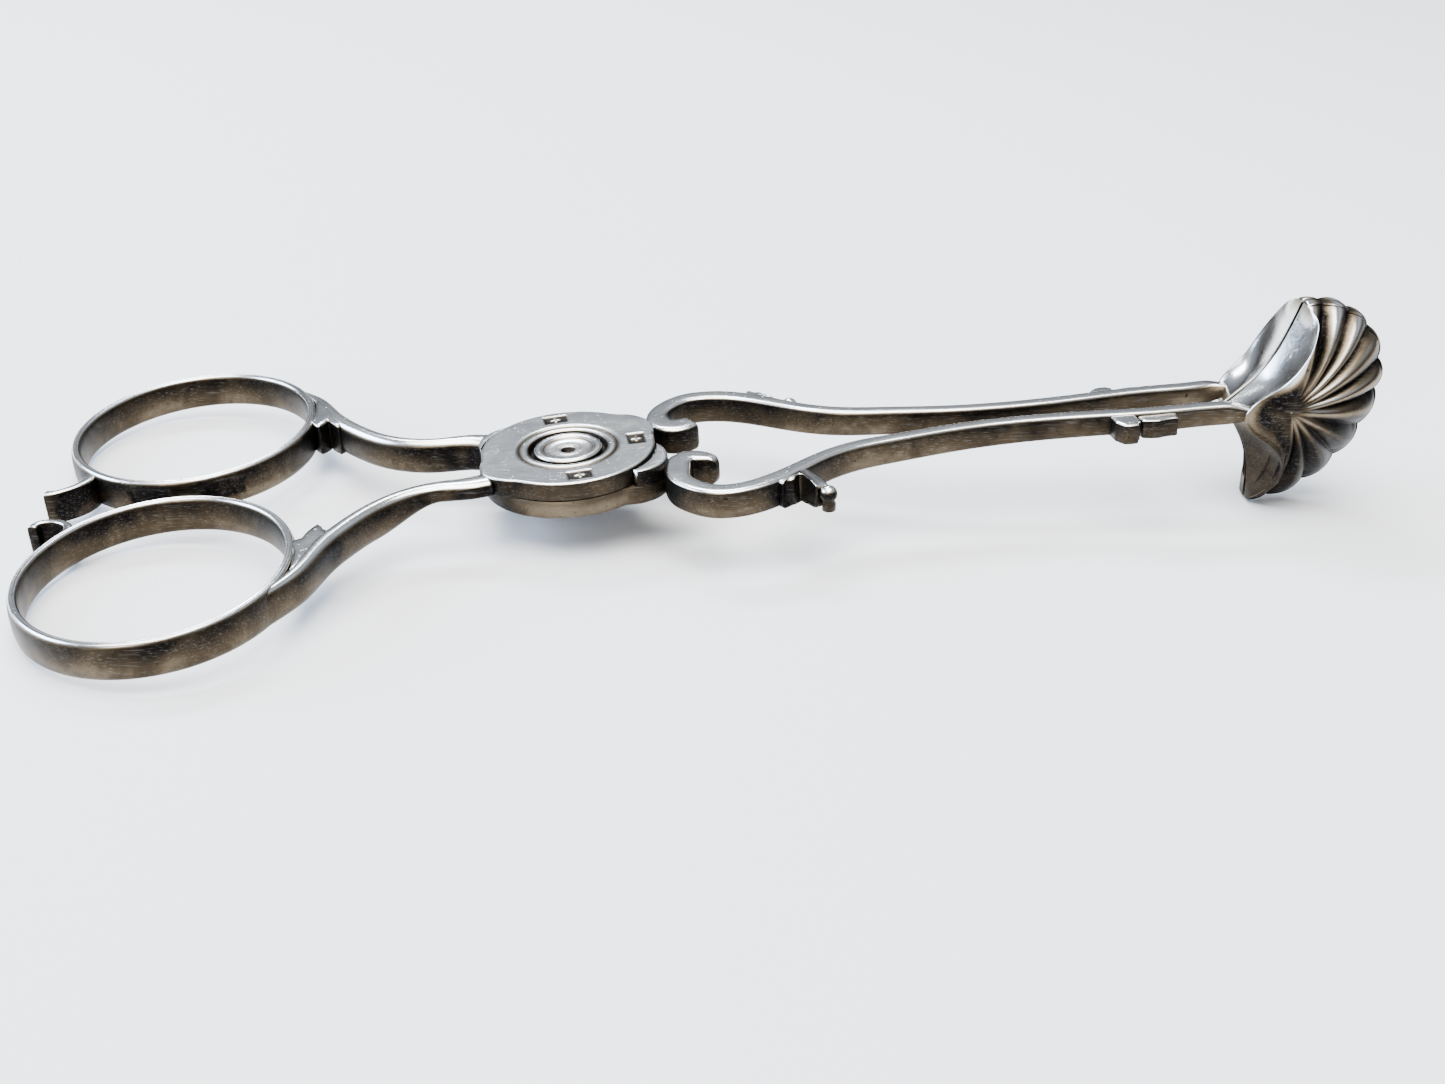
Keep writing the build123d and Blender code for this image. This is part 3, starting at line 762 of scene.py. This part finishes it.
# %% Lap halves
MARK_BEARINGS = (2.0, 97.0, -84.0)
EDGE_R, LOWER_TOP = 0.2, 3.2
BLUNT_END, FINE_END = 0.78, 0.985    # shares of a shoulder's half width
RECESS_R, GROOVE_R, SEAM_R, SEAM_Z = 3.6, 4.43, 7.4, 1.63    # where the joint is darkened with painted shade and tarnish
UPPER_PROFILE = [    # radius, height: up the hole, over the recess and the turned ridge
    (1.6, 1.745), (1.55, 1.8), (1.55, 2.62), (1.6, 2.65), (3.3, 2.65), (3.45, 2.7),
    (3.52, 3.0), (3.58, 3.22), (3.7, 3.33), (3.9, 3.385), (4.15, 3.38), (4.28, 3.33),
    (4.38, 3.21), (4.48, 3.2), (4.58, 3.31), (4.7, 3.375), (4.85, 3.395),
]
LOWER_PROFILE = [    # the same for the lower half, seen from below
    (1.52, 0.84), (2.82, 0.82), (2.85, 0.06), (2.95, 0.0), (4.25, 0.0), (4.38, 0.16),
    (4.5, 0.16), (4.62, 0.0), (4.8, 0.0),
]


def lap_lattice(arm):
    """Turned lattice: an inner profile, a flat face to the rim, a rounded edge, and back.

    Radii past the turned lines are stretched to the outline: r + (outline - disc)*s, where s
    goes smoothly from 0 at radius 5.2 to 1 at the rim.  Also returns the marks' depth share.
    """
    if arm == "upper":
        profile, face, inward = UPPER_PROFILE, DISC_THICKNESS, -1
    else:
        profile, face, inward = LOWER_PROFILE, 0.0, 1
    back = face + inward * LAP_THICKNESS
    flat = [(r, face) for r in np.linspace(4.95, 7.5, 30)]
    edge = [(DISC_R - EDGE_R + EDGE_R * math.sin(a), face + inward * EDGE_R * (1 - math.cos(a)))
            for a in np.linspace(0, np.pi / 2, 6)]
    rear = [(DISC_R, back - inward * 0.06), (DISC_R - 0.06, back), (5.0, back), (1.7, back)]
    rows = np.array(profile + flat + edge + rear)
    turn = np.linspace(0, 2 * np.pi, 420, endpoint=False)[None]
    stretch = soft_step(rows[:, :1], 5.2, DISC_R)
    radius = rows[:, :1] + (lap_outline(turn, arm) - DISC_R) * stretch
    x, y = radius * np.cos(turn), radius * np.sin(turn)
    mark = np.max([punched(x, y, bearing) for bearing in MARK_BEARINGS], axis=0)
    mark *= (inward < 0) & (rows[:, 1:] > face - 0.01) & (rows[:, :1] > 4.8)
    return np.stack([x, y, rows[:, 1:] - MARK_DEPTH * mark], -1), mark


def shoulder_lattice(bearing, rise, high):
    """Crescent outside the other half's disc, up to high: a box section carried round.

    Its inner radius is the swing circle and its outer radius the shoulder's circle.  The bold
    one ends bluntly before it has run out.
    """
    inner = DISC_R + SWING_GAP
    centre = DISC_R + rise - SHOULDER_R
    half = math.acos((centre**2 + inner**2 - SHOULDER_R**2) / (2 * centre * inner))
    first = -BLUNT_END if rise > 1 else -FINE_END
    turn = math.radians(bearing) + np.linspace(first, FINE_END, 60)[:, None] * half
    outer = shoulder_reach(turn, bearing, rise)
    section = rounded_section(32, 8.0, 9.0)[None]
    radius = (outer + inner) / 2 + section[..., 0] * (outer - inner) / 2
    z = (section[..., 1] + 1) / 2 * high + 0 * radius
    return np.stack([radius * np.cos(turn), radius * np.sin(turn), z], -1)


def joint_tarnish_and_shade(arm, disc, mark):
    """Extra tarnish and painted shade: the recess, the groove and the marks above, and painted
    shade in the seam on the lower half.
    """
    radius = np.hypot(disc[..., 0], disc[..., 1])
    if arm == "upper":
        return np.exp(-(((radius - GROOVE_R) / 0.14) ** 2)) + (radius < RECESS_R) + mark
    return 0.9 * (radius > SEAM_R) * (disc[..., 2] > SEAM_Z)


for arm in ARMS:
    disc, mark = lap_lattice(arm)
    top = DISC_THICKNESS if arm == "upper" else LOWER_TOP
    solids = [closed_lattice(disc, ring=True)]
    solids += [closed_lattice(shoulder_lattice(bearing, rise, top))
               for bearing, rise, full in shoulders_of(arm) if full]
    arm_piece(arm, "lap_disc", solids, ["lap"], "joint_silver",
              recess=joint_tarnish_and_shade(arm, disc, mark))

# %% Rivet and its washer
RIVET_PROFILE = [    # radius, height, from the bottom end to the dimple in the head
    (0.5, 0.0), (1.2, 0.0), (1.44, 0.12), (1.5, 0.3), (1.5, 2.7), (1.6, 2.73), (2.85, 2.73),
    (3.02, 2.8), (3.08, 2.95), (3.08, 3.15), (3.02, 3.28), (2.88, 3.37), (2.66, 3.395),
    (2.48, 3.36), (2.36, 3.28), (2.22, 3.17), (2.0, 3.08), (1.7, 3.02), (1.35, 3.0),
    (1.05, 3.03), (0.88, 3.07), (0.72, 3.06), (0.6, 2.98), (0.5, 2.8), (0.38, 2.6),
    (0.15, 2.55),
]
WASHER_PROFILE = [
    (1.51, 0.78), (1.51, 0.06), (1.58, 0.0), (2.6, 0.0), (2.74, 0.05), (2.79, 0.18), (2.79, 0.78)
]


def turned(profile, columns=120):
    """Lattice of a profile of (radius, height) spun about the pivot."""
    rows = np.array(profile)
    turn = np.linspace(0, 2 * np.pi, columns, endpoint=False)[None]
    x, y = rows[:, :1] * np.cos(turn), rows[:, :1] * np.sin(turn)
    return np.stack([x, y, np.broadcast_to(rows[:, 1:], x.shape)], -1)


head = turned(RIVET_PROFILE)
reach = np.hypot(head[..., 0], head[..., 1])
# Painted shade in the hole of the dimple and in two rings round the head's dish.
rings = 0.55 * np.exp(-(((reach - 2.2) / 0.16) ** 2)) * (head[..., 2] > 3)
rings += 0.5 * np.exp(-(((reach - 0.9) / 0.12) ** 2)) * (head[..., 2] > 2.9)
rivet_shade = (reach < 0.62) + rings
finished("dished_rivet", [closed_lattice(head)], "lower_arm", ["pivot_rivet"],
         "joint_silver", recess=rivet_shade)
washer = closed_lattice(turned(WASHER_PROFILE), ring=True)
finished("rivet_washer", [washer], "lower_arm", ["rivet_burr"], "joint_silver")
print("rivet rows", len(RIVET_PROFILE))

# %% [markdown]
# From the joint to the shell an arm is one line: a curl by the middle, the thick back of a C
# scroll against the shoulder, an outer sweep, and a slim bar.  Scroll and bar are one surface
# here, as they are one casting.  The section is boxy in the scroll; along the bar a round
# bead forms under the top edge, with a hollow below it.

# %% Scroll and bar
CURL = {    # x, y, width of each side's curl, from its tip
    1: [(11.5, 4.5, 2.3), (10.6, 4.15, 2.7), (9.55, 4.3, 2.6), (8.8, 5.45, 2.45),
        (8.8, 7.0, 2.1), (9.95, 8.9, 1.9), (11.8, 10.15, 1.9), (14.05, 10.3, 1.9)],
    -1: [(12.5, 3.75, 1.2), (11.85, 3.25, 1.75), (10.8, 2.85, 2.0), (9.75, 3.4, 2.3),
         (9.3, 4.95, 2.45), (9.3, 7.0, 2.1), (10.35, 8.9, 1.9), (12.05, 10.15, 1.9),
         (14.15, 10.3, 1.9)],
}
BAR_LINE = [    # the same from the scroll's end to the shell
    (16.4, 9.55, 1.9), (19.01, 7.9, 1.76), (22.11, 5.6, 1.6), (25.49, 3.95, 1.6),
    (29.41, 3.1, 1.52), (34.49, 2.25, 1.44), (42.0, 1.75, 1.44), (49.7, 2.15, 1.44),
    (55.01, 2.45, 1.44), (59.51, 2.45, 1.5), (62.4, 2.9, 1.2), (64.6, 3.6, 0.5),
]
SCROLL_TOP, BAR_END_TOP, TIP_REACH = 2.7, 2.0, 0.7
BAR_START_X, SHELL_ROOT_X = 16.4, 61.4


def grip_line(side):
    """Stations (x, y, width, low, high): the top slopes evenly down from the scroll's end.

    Inside the shell the bar thins, sinking from above and rising from below.
    """
    line = smooth_line(CURL[side] + BAR_LINE, 0.16)
    share = np.clip((line[:, 0] - BAR_START_X) / (BAR_LINE[-1][0] - BAR_START_X), 0, 1)
    sinking = soft_step(line[:, 0], SHELL_ROOT_X - 1.0, BAR_LINE[-1][0])
    high = SCROLL_TOP + (BAR_END_TOP - SCROLL_TOP) * share - 0.85 * sinking
    return np.column_stack([line, 0.5 * sinking, high])


def grip_lattice(side):
    """Section of half width 1 - bar*(cove + foot + crown): a box at bar 0, beaded at bar 1.

    The cove is a Gaussian hollow a little below the middle, and the foot and the crown draw
    in the base and the top.
    """
    line = grip_line(side)
    section = rounded_section(48, 5.0, 6.0)
    x, z = section[None, :, 0], section[None, :, 1]
    bar = soft_step(line[:, :1], BAR_START_X + 2.0, BAR_START_X + 13.0)
    cove = 0.2 * np.exp(-(((z + 0.05) / 0.3) ** 2))
    foot = 0.12 * soft_step(-z, 0.2, 1.0)
    crown = 0.1 * soft_step(z, 0.6, 1.0)
    shaped = np.stack([x * (1 - bar * (cove + foot + crown)), z + 0 * bar], -1)
    return round_end(carried(line, shaped, side)[::-1], TIP_REACH, 7)[::-1]


for arm, bow_side in ARMS.items():
    solid = closed_lattice(grip_lattice(-bow_side))
    arm_piece(arm, "scroll_and_bar", [solid], ["scroll", "bar"])

# %% [markdown]
# Two small castings decorate the outer side of each bar: a leaf of two cusps that ends in a
# thorn with a round knob, and near the shell a bud of two lobes.  They stand well out on
# one arm and are worn nearly flat on the other.

# %% Leaf spurs and buds
SPUR_X, BUD_X = 17.0, 48.3
SPUR_RISE = {1: 0.5, -1: 3.6}
BUD_RISE = {1: 1.0, -1: 2.1}
KNOB, KNOB_HEIGHT = 0.76, 1.5
SPUR_TOP, SPUR_MIDDLE_X = 2.6, SPUR_X + 2.4
THORN_SAGS = {1: (0, 0), -1: (-0.25, 0.2)}    # behind the thorn, and in front of it
SPUR_STEPS = [(0.0, -0.9, 0), (0.8, 0.9, -0.08), (1.2, 0.5, 0.1), (1.9, 1.0, -0.08)]
SPUR_END_STEPS = [(4.0, 0.3, 0), (4.3, -0.9, 0)]


def bar_edge(x):
    """Outer edge of the bar at x, between its stations."""
    px, py, width = np.array(BAR_LINE).T
    return np.interp(x, px, py + width / 2)


def beside_bar(start, steps):
    """Stations at start + dx along the bar and dy outside its edge, for steps (dx, dy, sag)."""
    return [(start + dx, bar_edge(start + dx) + dy, sag) for dx, dy, sag in steps]


def spur_solids(side):
    """Leaf with hollowed sides between its cusps, sloping to a ball at the thorn's tip."""
    behind, before = THORN_SAGS[side]
    tip_x, tip_y = SPUR_X + 4.3, bar_edge(SPUR_X + 3.6) + SPUR_RISE[side]
    stations = beside_bar(SPUR_X, SPUR_STEPS + [(2.5, 0.6, behind)])
    stations += [(tip_x - 0.7, tip_y - 0.2, 0), (tip_x + 0.5, tip_y - 0.6, before)]
    stations += beside_bar(SPUR_X, SPUR_END_STEPS)
    middle = (SPUR_MIDDLE_X, bar_edge(SPUR_MIDDLE_X) + 0.1)
    leaf = cushioned(hollowed(stations), SPUR_TOP, side, middle)
    leaf[..., 2] *= 1 - 0.22 * soft_step(leaf[..., 0], SPUR_X + 2.6, SPUR_X + 4.4)
    climb = np.radians(np.linspace(-50, 88, 24))
    ball = np.stack([KNOB * np.cos(climb), KNOB_HEIGHT + KNOB * np.sin(climb)], 1)
    knob = turned([(0.4, 0.0), (0.6, 0.0), (0.62, 0.6), *ball.tolist()], 48)
    knob += (tip_x + 0.3, side * (tip_y + 0.15), 0)
    return [closed_lattice(leaf), closed_lattice(knob)]


def bud_solids(side):
    """Two lobes along the bar: the nearer a block on edge, the further a long low one."""
    rise = BUD_RISE[side]
    block = [(1.2, -0.8, 0), (1.35, 0.55 * rise, 0), (1.9, rise, 0.1), (3.2, rise, -0.1),
             (3.55, 0.7 * rise, 0), (3.6, -0.6, 0)]
    low = [(3.6, -0.7, 0), (3.9, 0.5 * rise, 0.05), (5.4, 0.62 * rise, -0.1),
           (7.2, 0.5 * rise, 0), (7.7, -0.7, 0)]
    return [closed_lattice(cushioned(hollowed(beside_bar(BUD_X, steps)), top, side))
            for steps, top in ((block, 2.0), (low, 1.85))]


for arm, bow_side in ARMS.items():
    side = -bow_side
    # The leaf and the bud take a stronger share of the facing's tarnish and painted shade.
    arm_piece(arm, "leaf_and_thorn", spur_solids(side), ["leaf_spur"], clean=1.25)
    arm_piece(arm, "bar_bud", bud_solids(side), ["bud"], clean=1.1)

# %% [markdown]
# Each shell is a fan of ribs that spring from a beak and end in a scalloped edge.  Behind the
# beak, next to the other shell, the back of the fan is cut by two smooth hollow ears, one
# up and one down, with a raised lip where they meet the ribs.  Seen from the side the shell
# has one height at each place, so it is a height field over a star of rays from the beak.

# %% Rim of the fan
SHELL_LENGTH, SHELL_TOP, SHELL_DROP = 15.14, 10.3, 9.2
SHELL_LEAN, SHELL_TIP_X = 4.0, 5.0
SHELL_GAP, SHELL_DEPTH, SHELL_WALL = 0.22, 4.4, 0.7
BEAK = np.array([SHELL_ROOT_X + 4.7, 1.3])
LOBE_HEIGHT = 0.5
GROOVES = (0.055, 0.155, 0.25, 0.38, 0.48, 0.6, 0.71, 0.82, 0.935)    # shares of the front
TIP_UP = np.array([SHELL_ROOT_X + SHELL_TIP_X + SHELL_LEAN / 2, SHELL_TOP])
TIP_DOWN = np.array([SHELL_ROOT_X + SHELL_TIP_X - SHELL_LEAN / 2, -SHELL_DROP])


def back_edge(station, tip):
    """Smooth back edge from the root to a tip, through one station between, in even steps."""
    line = smooth_line([(SHELL_ROOT_X, 0.7), station, tuple(tip)], 0.05)
    length = np.concatenate([[0], np.cumsum(np.linalg.norm(np.diff(line, axis=0), axis=1))])
    s = np.linspace(0, length[-1], BACK_STEPS)
    return np.stack([np.interp(s, length, line[:, k]) for k in (0, 1)], 1)


def lobes(share, power):
    """|sin(pi*k)|^power: 0 in each groove and 1 between, k counting the grooves passed.

    Both ends of the fan lie half way over a lobe, which makes the bead beside each ear.
    """
    count = len(GROOVES)
    passed = np.interp(share, (0, *GROOVES, 1), (0.5, *range(1, count + 1), count + 0.5))
    return np.abs(np.sin(np.pi * passed)) ** power


def fan_front(s):
    """Front rim at the shares s of the way from the upper tip round to the lower one.

    A half ellipse, leaned over like the tips, swells by LOBE_HEIGHT over each lobe.
    """
    centre = (TIP_UP + TIP_DOWN) / 2
    half = np.linalg.norm(TIP_UP - TIP_DOWN) / 2
    lean = math.atan2(TIP_UP[0] - centre[0], TIP_UP[1] - centre[1])
    turn = np.pi / 2 - np.pi * s
    swell = LOBE_HEIGHT * lobes(s, 0.6)
    forward = (SHELL_ROOT_X + SHELL_LENGTH - centre[0] - LOBE_HEIGHT + swell) * np.cos(turn)
    across = (half + swell * np.abs(np.cos(turn)) ** 0.3) * np.sin(turn)
    x = centre[0] + forward * np.cos(lean * np.abs(np.sin(turn))) + across * np.sin(lean)
    return np.stack([x, centre[1] + across * math.cos(lean)], 1)


FRONT_STEPS, BACK_STEPS = 430, 90
upper_back = back_edge((SHELL_ROOT_X + 3.6, 3.9), TIP_UP)
lower_back = back_edge((SHELL_ROOT_X + 2.6, -4.2), TIP_DOWN)
rib_share = np.linspace(0, 1, FRONT_STEPS)
front = fan_front(rib_share)
print("front points", len(front))

# %% Crest between the ears and the ribs
UPPER_CREST = [    # x, z and height above the rim's plane, from the root to the tip
    (62.3, 1.0, 3.2), (63.3, 2.3, 3.4), (64.8, 3.4, 3.8), (65.9, 4.5, 4.2), (66.9, 5.9, 4.35),
    (67.7, 7.2, 4.1), (68.3, 8.5, 3.4), (68.6, 9.6, 2.2), (68.35, 10.15, 0.95),
]
LOWER_CREST = [
    (62.3, 0.2, 3.1), (62.9, -0.7, 3.3), (64.5, -1.9, 3.9), (65.5, -3.0, 4.3), (66.0, -4.4, 4.2),
    (65.9, -6.1, 3.5), (65.3, -7.7, 2.3), (64.5, -8.9, 0.95),
]
RIM_HEIGHT = 0.93      # of the front columns, where the dome turns down to the rim
FRONT_SHARE = 0.965    # of each front ray, where it does
EAR_BLEND = 14         # columns over which an ear takes over from the front


def crest_line(stations):
    """Points of the smooth crest through the stations, one for each point of the back edge."""
    line = smooth_line(stations, 0.05)
    return line[np.linspace(0, len(line) - 1, BACK_STEPS).astype(int)]


def crest_columns():
    """For every rim column: rim (x, z), crest (x, z, height), rib share, and 1 on the ears.

    Columns run along the front from the upper tip, then up the lower back edge to the root,
    and up the upper back edge to the tip.
    """
    low, high = crest_line(LOWER_CREST)[::-1], crest_line(UPPER_CREST)
    turn_over = BEAK + FRONT_SHARE * (front - BEAK)
    front_crest = np.column_stack([turn_over, np.full(len(front), RIM_HEIGHT)])
    rim = np.concatenate([front, lower_back[::-1][1:], upper_back[1:-1]])
    crest = np.concatenate([front_crest, low[1:], high[1:-1]])
    share = np.concatenate([rib_share, np.ones(len(low) - 1), np.zeros(len(high) - 2)])
    number = np.arange(len(rim))
    past = np.minimum(number - len(front), len(rim) - number)
    return rim, crest, share, soft_step(past, 0, EAR_BLEND)


rim, crest, share, ear = crest_columns()
inward = unit(BEAK - rim)
print("columns", len(rim), "highest crest", round(float(crest[:, 2].max()), 2))

# %% Outer face of the shell
RIB_DEPTH, RIB_START, RIB_END = 0.75, 0.04, 0.6
DOME_POWER, DOME_CURVE, EAR_POWER = 2.4, 0.62, 2.2
UPPER_BEND, LOWER_BEND, BEND_TURN = 0.24, 0.42, 0.55
LIP_HEIGHT, LIP_REACH, EAR_HOLLOW = 0.24, 0.26, 0.42
groove = 1 - lobes(share, 1.0)[None]
on_ear, on_front = ear[None], 1 - ear[None]


def shell_dome(t):
    """Rows of (x, z), height and rib growth at the shares t of the way from beak to crest.

    Height: crest + (depth - crest)*fall(t), where fall is the front's (1 - t^2.4)^0.62, scaled
    to end at 0, or 1 - t^2.2 on the ears.  The ribs' grooves sink it, and next to the crest
    the ears rise in a lip of exp(-(distance/reach)^2).  Rays bow sideways by bend*t*(1-t).
    """
    ray = crest[:, :2] - BEAK
    sideways = np.stack([ray[:, 1], -ray[:, 0]], 1)
    upper, lower = 1 - share / BEND_TURN, (share - BEND_TURN) / (1 - BEND_TURN)
    bend = UPPER_BEND * np.clip(upper, 0, 1) - LOWER_BEND * np.clip(lower, 0, 1) ** 1.5
    bend = bend * (1 - ear)
    flat = BEAK + t[..., None] * ray + (bend[:, None] * sideways) * (t * (1 - t))[..., None]
    end = (1 - FRONT_SHARE**DOME_POWER) ** DOME_CURVE
    fall = ((1 - (FRONT_SHARE * t) ** DOME_POWER) ** DOME_CURVE - end) / (1 - end)
    fall = fall * on_front + (1 - t**EAR_POWER) * on_ear
    dome = crest[:, 2] + (SHELL_DEPTH - crest[:, 2]) * fall
    grow = soft_step(t, RIB_START, RIB_END) * on_front
    sink = RIB_DEPTH * groove * grow * (1 - 0.5 * soft_step(t, 0.88, 1.0))
    dome = dome - np.minimum(sink, 0.8 * dome)
    away = (1 - t) * np.linalg.norm(ray, axis=1)
    return flat, dome + LIP_HEIGHT * np.exp(-((away / LIP_REACH) ** 2)) * on_ear, grow


def shell_wall(v):
    """Rows of (x, z) and height at the shares v of the way down from the crest to the rim.

    The front is a quarter ellipse.  The ears are straight walls, hollowed by a sine, under
    the other half of the lip.
    """
    run = rim - crest[:, :2]
    length = np.hypot(np.linalg.norm(run, axis=1), crest[:, 2])
    lip = LIP_HEIGHT * np.exp(-((v * length / LIP_REACH) ** 2)) * on_ear
    hollow = EAR_HOLLOW * np.sin(np.pi * v) * (crest[:, 2] / SHELL_DEPTH) * on_ear
    quarter = np.sin(np.pi / 2 * v) * on_front + v * on_ear
    flat = crest[:, :2] + quarter[..., None] * run + (hollow - 0.6 * lip)[..., None] * inward
    down = crest[:, 2] * (np.cos(np.pi / 2 * v) * on_front + (1 - v) * on_ear)
    down = down - np.minimum(RIB_DEPTH / 2 * groove * on_front * (1 - v), 0.8 * down)
    return flat, down + lip * (1 - v)


def shell_outside():
    """The dome's rows, then the wall's, and each point's extra tarnish and painted shade.

    Darker are the grooves (tarnish and painted shade) and, as painted shade, an oval beside the
    beak, the lower half and each ear towards the beak; the upper ear gets a painted highlight.
    """
    t = np.sin(np.linspace(0, np.pi / 2, 81)[1:])[:, None]
    v = np.linspace(0, 1, 41)[1:, None]
    (dome, high, grow), (wall, low) = shell_dome(t), shell_wall(v)
    flat, height = np.concatenate([dome, wall]), np.concatenate([high, low])
    from_beak = (flat - BEAK + (1.1, -0.8)) / (2.6, 1.4)
    # Painted shade in an oval beside the beak, where the bar meets the shell.
    beak = np.exp(-(np.linalg.norm(from_beak, axis=-1) ** 2)) * soft_step(height, 2.5, 4.2)
    grown = np.concatenate([grow, np.repeat(on_front, len(v), axis=0)])
    # Painted shade over the lower half.
    low_down = soft_step(-flat[..., 1], -1.5, 2.5)
    # Painted shade on each ear towards the beak.
    dusk = 0.55 * on_ear * np.concatenate([soft_step(1 - t, 0.1, 0.55), 0 * v])
    # Painted highlight on the upper ear.
    bright = 0.4 * on_ear * soft_step(flat[..., 1], 0.5, 2.5)
    return flat, height, 1.1 * groove**0.75 * grown + beak + 0.42 * low_down + dusk - bright


print("rays bow by up to", LOWER_BEND / 4)

# %% Hollow and whole shell
DOME_WALL = 0.4        # at the beak, less than SHELL_WALL at the rim
INSIDE_PATINA = 0.45


def shell_inside():
    """The plain hollow: the crest and rim moved in by the wall, and a smooth dome between."""
    edge = rim + SHELL_WALL * inward
    corner = crest[:, :2] + (0.7 * SHELL_WALL + 0.5 * ear)[:, None] * inward
    top = np.clip(crest[:, 2] - SHELL_WALL, 0.1, None)
    t = np.linspace(0, 1, 25)[1:, None]
    v = np.linspace(0, 1, 9)[1:, None]
    dome = top + (SHELL_DEPTH - DOME_WALL - SHELL_WALL - top) * (1 - t**2.4)
    flat = BEAK + t[..., None] * (corner - BEAK)
    flat = np.concatenate([flat, corner + v[..., None] * (edge - corner)])
    return flat, np.concatenate([dome, top * (1 - v)])


def shell_solid(side):
    """Outer and inner faces as one lattice: out from the beak, over the rim, and back in."""
    (flat, height, outer), (inner_flat, inner_height) = shell_outside(), shell_inside()
    flat = np.concatenate([flat, inner_flat[::-1]])
    height = np.concatenate([height, inner_height[::-1]])
    tarnish_and_shade = np.concatenate([outer, np.full(inner_height.shape, INSIDE_PATINA)])
    lattice = np.stack([flat[..., 0], side * (SHELL_GAP + height), flat[..., 1]], -1)
    return closed_lattice(lattice), tarnish_and_shade


for arm, bow_side in ARMS.items():
    solid, tarnish_and_shade = shell_solid(-bow_side)
    arm_piece(arm, "fluted_shell", [solid], ["shell"], "shell_silver", recess=tarnish_and_shade, clean=0.6)
